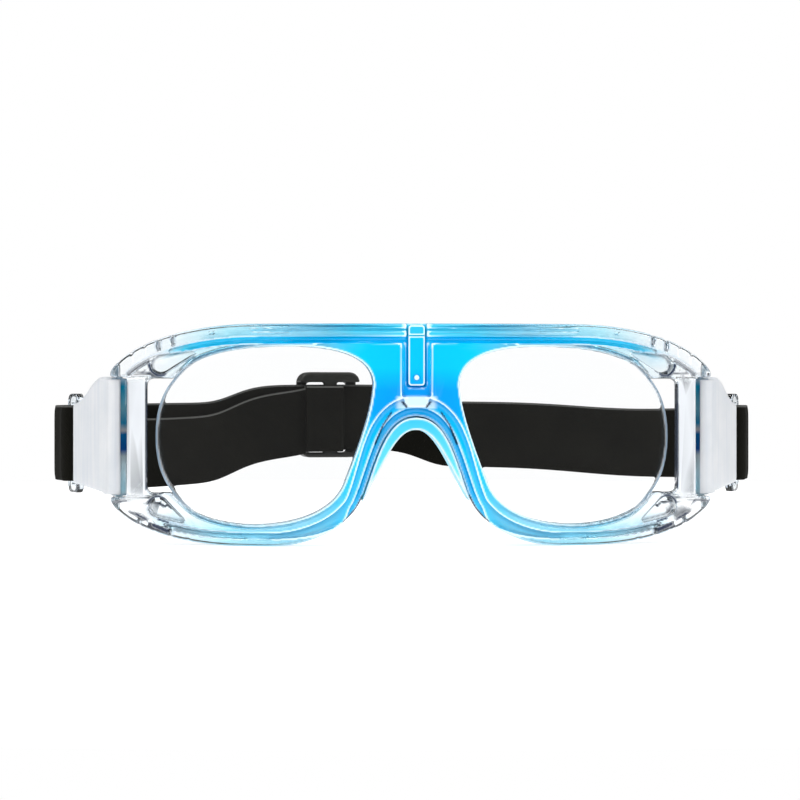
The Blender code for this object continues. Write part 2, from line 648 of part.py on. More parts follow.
def build_strap_end(word, side, pivot, material):
    """The end of the strap, folded round the bar of the arm's loop."""
    bend = arc((BAR_X, BAR_Y), BEND_RADIUS, 0, -pi, ROUND_STEPS // 2)
    straight = STRAP_END_LENGTH
    curved = max(0.0, straight - STRAP_LEG)

    def leg_tail(inward):
        tail = []
        if curved:
            angle = pi / 2 - curved / (STRAP_RADIUS - inward)
            x, y, z = strap_point(angle, inward)
            tail = [(x, y)]
        x = STRAP_RADIUS - inward
        return [(x, BAR_Y + min(straight, STRAP_LEG))] + tail

    outer = list(reversed(leg_tail(0.0)))
    inner = leg_tail(2 * BEND_RADIUS + STRAP_FLARE)
    path = [(x * side, y, ARM_CENTRE_Z) for x, y in outer + bend + inner]
    end = ribbon("strap_end_" + word, path, material)
    end.parent = pivot
    end.matrix_parent_inverse = pivot.matrix_basis.inverted()


def build_slider(pivot, plastic, webbing):
    """A slider with its middle bar inside the strap and its two end bars outside it."""
    half_height = STRAP_WIDTH / 2 + SLIDER_PLAY_Z + SLIDER_RAIL
    inner_half = half_height - SLIDER_RAIL
    middle = strap_z(SLIDER_X) + SLIDER_LIFT
    outer_face = STRAP_THICKNESS / 2 + GAP + SLOT_GAP
    bar_face = STRAP_THICKNESS / 2 + SLOT_GAP + STRAP_THICKNESS + GAP
    depth = outer_face + SLIDER_BAR_THICKNESS + bar_face + SLIDER_BAR_THICKNESS
    inner_side = -bar_face - SLIDER_BAR_THICKNESS
    half = SLIDER_LENGTH / 2

    def block(name, x0, x1, y0, y1, z0, z1, solid=None):
        bm = bmesh.new()
        bmesh.ops.create_cube(bm, size=1.0)
        size = Vector((x1 - x0, y1 - y0, z1 - z0))
        centre = Vector((x0 + x1, y0 + y1, z0 + z1)) / 2
        for vert in bm.verts:
            vert.co = centre + Vector([c * s for c, s in zip(vert.co, size)])
        obj = new_object(name, bm, solid)
        obj.parent = pivot
        return obj

    slider = block("slider", -half, half, STRAP_RADIUS + inner_side, STRAP_RADIUS + inner_side + depth,
                   middle - half_height, middle + half_height, plastic)
    over = CUT_OVERRUN
    bay = (middle - inner_half, middle + inner_half)
    bar_half = SLIDER_BAR / 2
    cut(slider, block("cut_strap_channel", -half - over, half + over, STRAP_RADIUS - bar_face,
                      STRAP_RADIUS + outer_face, *bay))
    for word, sign in SIDES.items():
        inner_x = sorted((bar_half * sign, (half + over) * sign))
        cut(slider, block("cut_slider_inside_" + word, *inner_x, STRAP_RADIUS + inner_side - over,
                          STRAP_RADIUS, *bay))
    cut(slider, block("cut_slider_outside", -half + SLIDER_END_BAR, half - SLIDER_END_BAR, STRAP_RADIUS,
                      STRAP_RADIUS + outer_face + SLIDER_BAR_THICKNESS + over, *bay))

    bar_middle = STRAP_RADIUS - bar_face - SLIDER_BAR_THICKNESS / 2
    layer = SLIDER_BAR_THICKNESS / 2 + GAP + STRAP_THICKNESS / 2
    fold = arc((bar_half, bar_middle), layer, pi / 2, -pi / 2, 8)
    path = [(-SLIDER_LOOP_LEG, bar_middle + layer)] + fold + [(-SLIDER_LOOP_LEG, bar_middle - layer)]
    follow = []
    for x, y in path:
        drop = STRAP_RADIUS - sqrt(STRAP_RADIUS ** 2 - min(x, 0.0) ** 2)
        drift = SLIDER_LOOP_DRIFT if x < -bar_half else 0.0
        follow.append((x, y - drop - drift, strap_z(SLIDER_X)))
    loop = ribbon("slider_loop", follow, webbing)
    loop.parent = pivot


def add_pivot(name, x, y, angle):
    pivot = bpy.data.objects.new(name, None)
    pivot.location = (x, y, 0.0)
    pivot.rotation_euler = (0.0, 0.0, angle)
    bpy.context.scene.collection.objects.link(pivot)
    pivot.parent = goggles
    return pivot


def centre_footprint():
    """Moves the whole object so that the origin is under the middle of its box."""
    bpy.context.view_layer.update()
    depsgraph = bpy.context.evaluated_depsgraph_get()
    ys = []
    for obj in bpy.data.objects:
        if obj.type == "MESH" and not obj.hide_render:
            solid = obj.evaluated_get(depsgraph)
            ys += [(solid.matrix_world @ Vector(corner)).y for corner in solid.bound_box]
    goggles.location.y = -(min(ys) + max(ys)) / 2


for old in list(bpy.data.objects):
    bpy.data.objects.remove(old, do_unlink=True)
goggles = bpy.data.objects.new("goggles", None)
bpy.context.scene.collection.objects.link(goggles)

tinted = make_material("tinted_clear", (0.25, 0.75, 0.95), 0.05, 0.5)
clear_lens = make_material("lens_clear", (0.96, 0.98, 1.0), 0.02, 0.2)
clear_arm = make_material("arm_clear", (0.88, 0.93, 0.96), 0.08, 0.5)
soft_clear = make_material("soft_clear", (0.55, 0.88, 0.98), 0.25, 0.7)
soft_white = make_material("soft_white", (0.86, 0.87, 0.88), 0.55)
pin_blue = make_material("pin_blue", (0.05, 0.45, 0.75), 0.2)
webbing_black = make_material("webbing_black", (0.012, 0.012, 0.009), 0.85)
slider_black = make_material("slider_black", (0.015, 0.015, 0.014), 0.4)

build_front_frame(tinted)
build_nose_pad(soft_clear)
build_bridge_clip(tinted)
arm_pivots = {}
for word, side in SIDES.items():
    build_lens(word, side, clear_lens)
    build_pin(word, side, pin_blue)
    arm_pivots[word] = add_pivot("arm_pivot_" + word, HINGE_X * side, HINGE_Y, -ARM_SPLAY * side)
    build_arm(word, side, arm_pivots[word], clear_arm, soft_white)
build_strap(arm_pivots, webbing_black)
slider_pivot = add_pivot("slider_pivot", 0.0, STRAP_CENTRE_Y, -SLIDER_ANGLE)
build_slider(slider_pivot, slider_black, webbing_black)
centre_footprint()
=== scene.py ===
from math import asin, atan2, cos, exp, pi, radians, sin, sqrt

import bmesh
import bpy
import numpy as np
from bpy.props import FloatProperty, FloatVectorProperty, PointerProperty
from bpy.types import Operator, Panel, PropertyGroup
from mathutils import Matrix, Vector


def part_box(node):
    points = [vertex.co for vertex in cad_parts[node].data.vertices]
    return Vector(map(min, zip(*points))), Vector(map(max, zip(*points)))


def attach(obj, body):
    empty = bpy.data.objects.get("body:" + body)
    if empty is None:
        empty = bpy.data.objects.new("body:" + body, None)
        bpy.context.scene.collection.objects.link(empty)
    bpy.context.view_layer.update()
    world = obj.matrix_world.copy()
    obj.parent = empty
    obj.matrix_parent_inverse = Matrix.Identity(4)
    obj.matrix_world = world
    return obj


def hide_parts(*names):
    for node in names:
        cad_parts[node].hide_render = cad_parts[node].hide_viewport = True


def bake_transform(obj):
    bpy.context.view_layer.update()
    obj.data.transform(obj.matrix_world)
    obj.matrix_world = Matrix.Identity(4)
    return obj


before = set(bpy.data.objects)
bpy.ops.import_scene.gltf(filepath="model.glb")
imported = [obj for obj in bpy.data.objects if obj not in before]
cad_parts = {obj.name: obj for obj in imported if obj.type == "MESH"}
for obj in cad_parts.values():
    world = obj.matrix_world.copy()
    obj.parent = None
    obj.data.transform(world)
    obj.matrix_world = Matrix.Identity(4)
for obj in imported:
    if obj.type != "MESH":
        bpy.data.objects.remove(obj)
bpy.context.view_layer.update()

bl_info = {
    "name": "Sports goggles",
    "version": (1, 0, 0),
    "blender": (4, 5, 0),
    "location": "View3D > Sidebar > Goggles",
    "description": "Builds wraparound sports goggles with a tinted bridge and an elastic strap",
    "category": "Object",
}

# Pieces are shaped in millimetres, because Blender's merge distances suit large models, and are
# brought down to metres as they are finished. "left" is the wearer's left, at +X.
UNIT = 1000.0


def node_box(node):
    """Lowest and highest corner of a CAD node, in millimetres."""
    low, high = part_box(node)
    return Vector(low) * UNIT, Vector(high) * UNIT


FRONT_LOW, FRONT_HIGH = node_box("front_frame")
LENS_LOW, LENS_HIGH = node_box("lens_left")
CLIP_LOW, CLIP_HIGH = node_box("bridge_clip")
PIN_LOW, PIN_HIGH = node_box("hinge_pin_left")
BAND_LOW, BAND_HIGH = node_box("strap_band")
SLIDER_LOW, SLIDER_HIGH = node_box("slider")

FRONT_Y = FRONT_LOW.y          # the front of the bridge
HALF_WIDTH = FRONT_HIGH.x
HEIGHT = FRONT_HIGH.z
WRAP_RADIUS = 170.0
RIM_DEPTH = 9.0
CUT_FRONT = -2.0               # cutters start this far before the front and end as far behind it
CUT_BACK = RIM_DEPTH + 2.0
POCKET_DEPTH = 7.8
TOP_GROOVE_DEPTH = 1.3
HAIRLINE_DEPTH = 0.7
CORNER_GROOVE_DEPTH = 1.8
RECESS_DEPTH = 1.5             # the recess along the nose and its deeper inner step
STEP_DEPTH = 3.0
SLOT_DEPTH = 2.4
POST_OUTER = HALF_WIDTH - 4.4
POST_INNER = POST_OUTER - 5.2
LENS_OUTER = POST_INNER - 2.0
LENS_INNER = 10.8
LENS_TOP = HEIGHT - 5.7
LENS_BOTTOM = 5.3
ARCH_TOP = HEIGHT - 23.3
LEG_TIP = (13.9, 11.5)
BOSS = (-3.0, 3.0, 34.9, 37.5)
NOTCH = (11.9, HEIGHT - 13.3)
NOTCH_MIDDLE = (NOTCH[0] + NOTCH[1]) / 2
VENT = (13.2, HEIGHT - 13.7)
PIN_X = (PIN_LOW.x + PIN_HIGH.x) / 2
PIN_Y = (PIN_LOW.y + PIN_HIGH.y) / 2
PIN_SETBACK = 4.6
PIN_RADIUS = 0.9
BORE_RADIUS = 1.2
KNUCKLE_RADIUS = 2.0
LENS_DEPTHS = (3.4, 5.4)
LENS_ROOM = 0.3
PAD_DEPTHS = (0.8, 12.8)
PAD_GAP = 0.3
ARM_THICKNESS = 2.2
SLEEVE_THICKNESS = 5.2
ARM_SPLAY = radians(26.0)
ARM_Z = NOTCH_MIDDLE - 2.0
SLEEVE_RUN = (3.4, 26.0)
SLOT_RUN = (27.4, 29.9)
ARM_END = 32.9
BAR_U = 31.4
BEND_RADIUS = 2.75
STRAP_WIDTH = 20.0
STRAP_THICKNESS = 1.3
STRAP_STEP = radians(1.2)
STRAP_RADIUS = 94.515
STRAP_CENTRE_Y = PIN_Y + BAR_U * cos(ARM_SPLAY) + 11.0
SLIDER_X = -18.5
BAR_THICKNESS = 1.6
SLIDER_ANGLE = asin(SLIDER_X / STRAP_RADIUS)
SPLIT = -radians(46.0)         # where the folded-back layer starts to follow the slider
LAYER_GAP = 2 * BEND_RADIUS + 2.6
ELASTIC = "woven elastic"
SIDES = {"left": 1, "right": -1}
MOST_TRIANGLES = 190000

# The studio, in metres, watts and degrees.
FLOOR_RADIUS = 0.45
LAMPS = (("key", (-0.5, -0.9, 0.9), 0.5, 2.4), ("fill", (0.9, -0.5, 0.7), 0.4, 1.2))
CAMERA_AIM = (-0.0042, -0.07955, 0.0368)
CAMERA_DISTANCE = 0.640
CAMERA_TURN = radians(-3.0)
CAMERA_LENS = 115.2


def settings():
    return bpy.context.scene.goggles


def smoothed(share):
    share = min(max(share, 0.0), 1.0)
    return share * share * (3 - 2 * share)


# ---- outlines, in (x, z)
def mirrored(loop, side):
    return [(x * side, z) for x, z in loop]


def bezier(p0, p1, p2, p3, steps=20):
    """Points of a cubic curve, without the last one, so that curves can be chained."""
    points = []
    for i in range(steps):
        t = i / steps
        s = 1 - t
        weights = (s ** 3, 3 * s * s * t, 3 * s * t * t, t ** 3)
        points.append(tuple(sum(w * p[k] for w, p in zip(weights, (p0, p1, p2, p3))) for k in (0, 1)))
    return points


def arc(centre, radius, start, end, steps=8):
    return [(centre[0] + radius * cos(start + (end - start) * i / steps),
             centre[1] + radius * sin(start + (end - start) * i / steps)) for i in range(steps + 1)]


def box_outline(x0, x1, z0, z1, radius=0.5):
    corners = ((x1 - radius, z1 - radius, 0), (x0 + radius, z1 - radius, pi / 2),
               (x0 + radius, z0 + radius, pi), (x1 - radius, z0 + radius, 3 * pi / 2))
    points = []
    for x, z, start in corners:
        points += arc((x, z), radius, start, start + pi / 2, 5)
    return points


def top_edge():
    start = (HALF_WIDTH - 37, HEIGHT)
    end = (HALF_WIDTH, HEIGHT - 12)
    straight = [(start[0] * i / 12, HEIGHT) for i in range(12)]
    return straight + bezier(start, (start[0] + 16, HEIGHT), (end[0] - 4.5, end[1] + 7.7), end) + [end]


def bottom_edge():
    ear = (HALF_WIDTH, 11.1)
    foot_out, foot_in = (44.0, 0.0), (36.0, 0.0)
    outer = bezier(ear, (ear[0] - 2.5, 5.6), (foot_out[0] + 18, 0), foot_out)
    inner = bezier(foot_in, (foot_in[0] - 8, 0), (LEG_TIP[0] + 3.4, 4.2), LEG_TIP)
    return outer + [foot_out] + inner


def arch_edge():
    top = (0.0, ARCH_TOP)
    return bezier(LEG_TIP, (10, 22), (8, ARCH_TOP), top) + [top]


def value_at(amount, *place):
    """An amount that is a number, or a function of the place."""
    return amount(*place) if callable(amount) else amount


def offset_open(points, amount):
    """An open line moved to the left of its direction by a number or amount(share of its length)."""
    last = len(points) - 1
    moved = []
    for i, (x, z) in enumerate(points):
        ahead, behind = points[min(i + 1, last)], points[max(i - 1, 0)]
        dx, dz = ahead[0] - behind[0], ahead[1] - behind[1]
        if abs(x) < 1e-6:
            dx, dz = dx or -1.0, 0.0
        length = sqrt(dx * dx + dz * dz)
        distance = value_at(amount, i / last)
        moved.append((x - distance * dz / length, z + distance * dx / length))
    return moved


def both_sides(half):
    """An open line over the middle, from its half at +X that starts on the middle plane."""
    return [(-x, z) for x, z in reversed(half[1:])] + half


def grown(outline, amount):
    """A closed outline grown along its own normals by a number or amount(x, z)."""
    area = sum(a[0] * b[1] - b[0] * a[1] for a, b in zip(outline, outline[1:] + outline[:1]))
    turn = 1 if area > 0 else -1
    points = []
    for i, (x, z) in enumerate(outline):
        ahead, behind = outline[(i + 1) % len(outline)], outline[i - 1]
        dx, dz = ahead[0] - behind[0], ahead[1] - behind[1]
        length = sqrt(dx * dx + dz * dz)
        distance = value_at(amount, x, z) * turn
        points.append((x + distance * dz / length, z - distance * dx / length))
    return points


def frame_outline():
    half = top_edge() + bottom_edge() + arch_edge()
    return half + [(-x, z) for x, z in reversed(half[1:-1])]


def lens_edge():
    """The lens's visible outline: four sweeping sides and a cut corner beside the nose."""
    width, height = LENS_OUTER - LENS_INNER, LENS_TOP - LENS_BOTTOM
    shares = (((0, 0.782), (0, 0.938), (0.15, 1)), ((0.39, 1), (0.783, 1), (1, 0.882)),
              ((1, 0.493), (1, 0.149), (0.81, 0)), ((0.535, 0), (0.333, 0.007), (0.178, 0.087)),
              ((0.132, 0.231), (0.077, 0.409), (0.009, 0.616)))
    points = []
    for i, curve in enumerate(shares):
        following = shares[(i + 1) % len(shares)][0]
        points += bezier(*[(LENS_INNER + width * x, LENS_BOTTOM + height * z)
                           for x, z in (*curve, following)])
    return points


def lens_outline():
    """The lens with the border that the rim holds, which fades out at the vent."""
    return grown(lens_edge(), lambda x, z: 1 - min(max((x - POST_INNER + 13) / 6, 0.0), 1.0))


def teardrop(centre, radius, tip):
    dx, dz = tip[0] - centre[0], tip[1] - centre[1]
    heading = atan2(dz, dx)
    spread = asin(min(radius / sqrt(dx * dx + dz * dz), 1.0))
    return arc(centre, radius, heading + pi / 2 - spread, heading + 3 * pi / 2 + spread, 20) + [tip]


# ---- modelling steps
def deselect():
    bpy.ops.object.select_all(action="DESELECT")


def select_only(*objs):
    deselect()
    for obj in objs:
        obj.select_set(True)
    bpy.context.view_layer.objects.active = objs[0]


def new_object(name, data):
    obj = bpy.data.objects.new(name, data)
    bpy.context.scene.collection.objects.link(obj)
    return obj


def close_up(obj):
    """Merges doubles and turns every face outwards."""
    select_only(obj)
    bpy.ops.object.mode_set(mode="EDIT")
    bpy.ops.mesh.select_all(action="SELECT")
    bpy.ops.mesh.remove_doubles(threshold=1e-4)
    bpy.ops.mesh.normals_make_consistent(inside=False)
    bpy.ops.object.mode_set(mode="OBJECT")


def slab(name, loops, y0, y1, edge=0.0):
    """A closed outline with any holes, drawn as a flat curve and given depth and rounded edges."""
    deselect()
    bpy.ops.curve.primitive_bezier_circle_add(location=(0, 0, 0))
    obj = bpy.context.object
    obj.name = name
    curve = obj.data
    curve.splines.clear()
    curve.dimensions = "2D"
    curve.fill_mode = "BOTH"
    for loop in loops:
        spline = curve.splines.new("POLY")
        spline.points.add(len(loop) - 1)
        for point, (x, z) in zip(spline.points, loop):
            point.co = (x, z, 0, 1)
        spline.use_cyclic_u = True
    curve.extrude = (y1 - y0) / 2 - edge
    curve.bevel_depth = edge
    curve.bevel_resolution = 3
    curve.offset = -edge
    bpy.ops.object.convert(target="MESH")
    obj = bpy.context.object
    for vert in obj.data.vertices:
        x, z, y = vert.co
        vert.co = (x, (y0 + y1) / 2 + y, z)
    close_up(obj)
    return obj


def rod(name, x, y, z0, z1, radius):
    deselect()
    bpy.ops.mesh.primitive_cylinder_add(vertices=48, radius=radius, depth=z1 - z0,
                                        location=(x, y, (z0 + z1) / 2))
    obj = bpy.context.object
    obj.name = name
    bpy.ops.object.transform_apply(location=True, rotation=True, scale=True)
    return obj


def apply_modifier(obj, kind, **values):
    select_only(obj)
    modifier = obj.modifiers.new(kind.lower(), kind)
    for key, value in values.items():
        setattr(modifier, key, value)
    bpy.ops.object.modifier_apply(modifier=modifier.name)


def carve(obj, *tools, operation="DIFFERENCE"):
    for tool in tools:
        apply_modifier(obj, "BOOLEAN", operation=operation, solver="EXACT", object=tool)
        bpy.data.objects.remove(tool, do_unlink=True)


def soften(obj, voxel, passes=4):
    """Evens the mesh out and rounds its edges, as moulded plastic has them."""
    apply_modifier(obj, "REMESH", mode="VOXEL", voxel_size=voxel, adaptivity=0.0)
    apply_modifier(obj, "SMOOTH", factor=0.5, iterations=passes)


def thin_out(obj):
    """Thins a mesh that has too many triangles to be exported whole."""
    obj.data.calc_loop_triangles()
    share = MOST_TRIANGLES / len(obj.data.loop_triangles)
    if share < 1:
        apply_modifier(obj, "DECIMATE", ratio=share)


def coordinates(obj):
    values = np.empty(len(obj.data.vertices) * 3)
    obj.data.vertices.foreach_get("co", values)
    return values.reshape(-1, 3)


def fade(value, start, end):
    share = np.clip((value - start) / (end - start), 0, 1)
    return share * share * (3 - 2 * share)


def between(value, start, full, ebb, end):
    """One between full and ebb, and nothing before start and after end."""
    return fade(value, start, full) * (1 - fade(value, ebb, end))


def distance_to(line, x, z):
    """Distance of each (x, z) to an open line."""
    nearest = np.full(len(x), 1e9)
    for (ax, az), (bx, bz) in zip(line, line[1:]):
        dx, dz = bx - ax, bz - az
        span = max(dx * dx + dz * dz, 1e-12)
        along = np.clip(((x - ax) * dx + (z - az) * dz) / span, 0, 1)
        nearest = np.minimum(nearest, np.hypot(x - ax - along * dx, z - az - along * dz))
    return nearest


def crease_shade_lines():
    """Fine creases painted dark as shade, each a line and half its width: by the pockets, posts and nose.
    """
    upper, lower = pocket_centres()
    post = POST_INNER + 0.1
    outer = POST_OUTER - 0.15
    rim = LENS_OUTER
    return [(arc(upper, 2.75, radians(-120), radians(0), 16), 0.26),
            (arc(lower, 2.7, radians(20), radians(130), 16), 0.2),
            ([(post, NOTCH[0] + 2), (post, NOTCH[1] - 3)], 0.07),
            ([(outer, NOTCH[1] - 1.5), (outer, NOTCH[0] + 9)], 0.24),
            ([(POST_INNER + 0.6, NOTCH[1] + 1.6), (POST_INNER + 2.2, NOTCH[1] - 0.2)], 0.14),
            ([(rim - 4.0, 9.2), (rim - 2.9, 9.9), (rim - 2.3, 9.4),
              (rim - 1.2, 10.2), (rim + 0.2, 10.4)], 0.2),
            ([(rim - 3.4, 5.8), (rim - 1.0, 6.5)], 0.2),
            ([(rim - 3.2, 3.6), (rim + 0.3, 5.0)], 0.42),
            ([(rim + 1.8, 6.2), (rim + 5.2, 8.0)], 0.26),
            ([(2.5, 35.1), (3.4, 36.2)], 0.2),
            ([(6.3, 33.6), (8.4, 30.4), (10.3, 25.8)], 0.13),
            ([(13.4, 12.6), (15.2, 9.2)], 0.2),
            ([(15.2, 9.2), (18.0, 6.2)], 0.28),
            ([(POST_OUTER - 1.2, NOTCH[0] - 0.8), (HALF_WIDTH - 0.6, NOTCH[0] - 1.2)], 0.12)]


def curvature(obj):
    """How sharply the surface turns at each vertex: above zero on edges, below in corners."""
    mesh = obj.data
    points = coordinates(obj)
    normals = np.array([vert.normal[:] for vert in mesh.vertices])
    edges = np.empty(len(mesh.edges) * 2, dtype=np.int64)
    mesh.edges.foreach_get("vertices", edges)
    a, b = edges.reshape(-1, 2).T
    step = points[b] - points[a]
    turn = ((normals[b] - normals[a]) * step).sum(1) / np.maximum((step * step).sum(1), 1e-9)
    total = np.bincount(a, turn, len(points)) + np.bincount(b, turn, len(points))
    count = np.bincount(a, minlength=len(points)) + np.bincount(b, minlength=len(points))
    bent = total / np.maximum(count, 1)
    spread = np.bincount(a, bent[b], len(points)) + np.bincount(b, bent[a], len(points))
    return (bent + spread / np.maximum(count, 1)) / 2


def store(obj, name, values):
    layer = obj.data.attributes.new(name, "FLOAT", "POINT")
    layer.data.foreach_set("value", values.astype(np.float32))


# Marks convex edges and concave creases. The materials lay painted highlights and painted edge lines on
# the edges, and painted shade in the creases.
def paint_edges(obj, low=0.25, high=0.9, hollow_share=1.0):
    bent = curvature(obj)
    store(obj, "crest", fade(bent, low, high))
    store(obj, "hollow_shade", fade(-bent, low, high) * hollow_share)


def paint_front(obj):
    """Where the tint gathers in the web behind the ridges, where the posts are frosted, and where
    highlights and shade are painted: on edges, in creases and on the boss.
    """
    x, z = coordinates(obj).T[[0, 2]]
    x = abs(x)
    # less painted shade in the creases along the top, away from the corners
    paint_edges(obj, hollow_share=1 - 0.85 * fade(z, 47, 48.5) * (1 - fade(x, 54, 62)))
    arch = distance_to(arch_edge(), x, z)
    store(obj, "recess", (1 - fade(arch, 4.2, 5.0)) * (1 - fade(z, 35, 37)))
    top = distance_to(top_edge(), x, z)
    bottom = distance_to(bottom_edge(), x, z)
    web = between(top, 3.1, 3.5, 4.9, 5.3) * (1 - fade(x, 60, 66))
    low_web = between(bottom, 1.8, 2.2, 3.7, 4.2) * (1 - fade(x, 62, 68))
    web = np.maximum(web, low_web * 0.45)
    bridge = (1 - fade(x, 13, 26)) * fade(top, 3.1, 3.6)
    store(obj, "web", np.maximum(web, bridge))
    # a paler patch on the boss: its clearer plastic, with a painted highlight
    store(obj, "pale", (1 - fade(x, 4.2, 5.6)) * between(z, 34.4, 34.9, 37.4, 38.0))
    # painted shade: dark lines along the fine creases
    crease_shade = np.zeros(len(x))
    for line, half in crease_shade_lines():
        crease_shade = np.maximum(crease_shade, 1 - fade(distance_to(line, x, z), half, half + 0.18))
    store(obj, "crease_shade", crease_shade)
    post = fade(x, POST_INNER + 0.3, POST_INNER + 0.6) * fade(z, NOTCH[0], NOTCH[0] + 1.5)
    store(obj, "frost", post * (1 - fade(z, NOTCH[1] - 1.5, NOTCH[1])))


def bend_round_face(obj):
    for vert in obj.data.vertices:
        vert.co.y += WRAP_RADIUS - sqrt(WRAP_RADIUS ** 2 - vert.co.x ** 2)


def finish(obj, name, material, body, replaced=(), place=None, smooth=50):
    """Brings a piece to metres in the frame's place, and says what it rides on and stands for."""
    place = place or Matrix.Translation((0, FRONT_Y, 0))
    obj.data.transform(Matrix.Scale(1 / UNIT, 4) @ place)
    obj.name = name
    obj.data.name = name
    obj.data.materials.clear()
    obj.data.materials.append(material)
    select_only(obj)
    bpy.ops.object.shade_smooth_by_angle(angle=radians(smooth))
    if body:
        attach(obj, body)
    if replaced:
        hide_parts(*replaced)
    return obj


# ---- materials
class Nodes:
    """A short way to write the nodes of a new material or of a given world."""

    def __init__(self, owner):
        self.owner = bpy.data.materials.new(owner) if isinstance(owner, str) else owner
        self.owner.use_nodes = True
        self.tree = self.owner.node_tree

    def add(self, kind, inputs=None, **values):
        node = self.tree.nodes.new("ShaderNode" + kind)
        for key, value in values.items():
            setattr(node, key, value)
        for key, value in (inputs or {}).items():
            self.feed(node, key, value)
        return node

    def feed(self, node, key, value):
        socket = node.inputs[key]
        if isinstance(value, bpy.types.NodeSocket):
            self.tree.links.new(value, socket)
        else:
            socket.default_value = value

    def math(self, operation, *values):
        return self.add("Math", dict(enumerate(values)), operation=operation).outputs[0]

    def times(self, a, b):
        return self.math("MULTIPLY", a, b)

    def plus(self, a, b):
        return self.math("ADD", a, b)

    def minus(self, a, b):
        return self.math("SUBTRACT", a, b)

    def ramp(self, value, *stops):
        """Colours along a value. A stop's plain number stands for a grey."""
        node = self.add("ValToRGB", {"Fac": value})
        ramp = node.color_ramp
        while len(ramp.elements) < len(stops):
            ramp.elements.new(0.5)
        for element, (position, colour) in zip(ramp.elements, stops):
            element.position = position
            rgb = (colour,) * 3 if isinstance(colour, float) else colour
            element.color = (*rgb, 1.0)
        return node.outputs["Color"]

    def place(self):
        return self.add("TexCoord").outputs["Object"]

    def axes(self, vector=None):
        return self.add("SeparateXYZ", {"Vector": vector or self.place()}).outputs

    def height_share(self):
        return self.math("DIVIDE", self.axes()[2], HEIGHT / UNIT)

    def attribute(self, name, share=1.0):
        value = self.add("Attribute", attribute_name=name).outputs["Fac"]
        return value if share == 1.0 else self.times(value, share)

    def noise(self, scale, detail=3.0, vector=None):
        inputs = {"Vector": vector or self.place(), "Scale": scale, "Detail": detail}
        return self.add("TexNoise", inputs).outputs["Fac"]

    def uneven(self, value, scale, amount):
        """The value with a soft noise added to it."""
        return self.plus(value, self.times(self.minus(self.noise(scale), 0.5), amount))

    def mix(self, factor, a, b):
        node = self.add("Mix", data_type="RGBA")
        self.feed(node, 0, factor)
        self.feed(node, 6, a)
        self.feed(node, 7, b)
        return node.outputs[2]

    def cover(self, name, share, colour, over):
        """The colour, with another laid over it where the surface has the named attribute."""
        return self.mix(self.attribute(name, share), colour, over)

    def bump(self, height, strength, distance):
        return self.add("Bump", {"Height": height, "Strength": strength,
                                 "Distance": distance}).outputs["Normal"]

    def surface(self, **values):
        for key, value in values.items():
            self.feed(self.tree.nodes["Principled BSDF"], key.replace("_", " "), value)
        return self.owner


def tinted_plastic(name):
    """Clear moulded plastic whose tint is strongest at the bridge and fades to the corners."""
    n = Nodes(name)
    sideways = n.math("DIVIDE", n.math("ABSOLUTE", n.axes()[0]), HALF_WIDTH / UNIT)
    across = n.uneven(sideways, 60.0, 0.06)
    pale = n.ramp(across, (0.0, (0.03, 0.62, 0.93)), (0.20, (0.08, 0.66, 0.93)),
                  (0.36, (0.28, 0.72, 0.93)), (0.60, (0.42, 0.82, 0.96)),
                  (0.78, (0.85, 0.94, 0.98)), (0.90, (0.93, 0.96, 0.98)))
    strong = n.ramp(across, (0.0, settings().web_tint), (0.34, (0.0, 0.55, 0.94)),
                    (0.74, (0.01, 0.60, 0.95)), (0.84, (0.30, 0.72, 0.93)), (0.92, (0.90, 0.95, 0.98)))
    tint = n.mix(n.attribute("web"), pale, strong)
    depth = n.ramp(n.height_share(), (0.42, 0.0), (0.60, 1.0), (0.70, 0.9), (0.80, 0.0))
    middle = n.ramp(across, (0.04, 1.0), (0.13, 0.85), (0.20, 0.0))
    thick = n.times(depth, middle)
    thick = n.times(thick, n.minus(1.0, n.attribute("recess", 0.75)))
    colour = n.mix(n.times(thick, 0.95), tint, (*settings().bridge_tint, 1.0))
    # paler patch on the boss: clearer plastic with a painted highlight
    colour = n.cover("pale", 0.8, colour, (0.72, 0.92, 0.98, 1.0))
    # painted highlight: pale lines along the convex edges
    crest_highlight_colour = n.ramp(across, (0.45, (0.82, 0.96, 1.0)), (0.75, (0.55, 0.66, 0.78)))
    # painted shade: dark navy to near-black in the concave creases
    hollow_shade_colour = n.ramp(across, (0.30, (0.0, 0.20, 0.52)), (0.75, (0.03, 0.045, 0.08)))
    colour = n.cover("crest", 0.85, colour, crest_highlight_colour)
    hollow_shade = n.ramp(across, (0.15, 0.62), (0.28, 0.3), (0.62, 0.3), (0.76, 0.85))
    colour = n.mix(n.times(n.attribute("hollow_shade"), hollow_shade), colour, hollow_shade_colour)
    colour = n.cover("frost", 1.0, colour, (0.80, 0.83, 0.87, 1.0))
    # painted shade: near-black along the fine creases
    colour = n.cover("crease_shade", 1.0, colour, (0.008, 0.018, 0.05, 1.0))
    body = n.ramp(sideways, (0.0, 0.25), (0.17, 0.3), (0.34, 0.6), (0.6, 1.0))
    shade = n.ramp(across, (0.3, 0.35), (0.7, 0.75), (0.85, 0.0))
    body = n.minus(body, n.times(n.attribute("web"), shade))
    # the painted highlights on edges and the painted shade lines are also made less clear
    veil = n.math("MAXIMUM", n.attribute("frost", 0.85),
                  n.times(n.attribute("crest"), n.ramp(across, (0.3, 0.6), (0.8, 0.1))))
    veil = n.math("MAXIMUM", veil, n.attribute("crease_shade", 0.9))
    body = n.math("MAXIMUM", n.minus(body, veil), 0.0)
    ripple = n.bump(n.noise(420.0, 2.0), 0.12, 0.0004)
    rough = n.ramp(n.noise(900.0), (0.3, 0.02), (0.8, 0.06))
    return n.surface(Base_Color=colour, Transmission_Weight=body, Roughness=rough, IOR=1.49,
                     Normal=ripple)


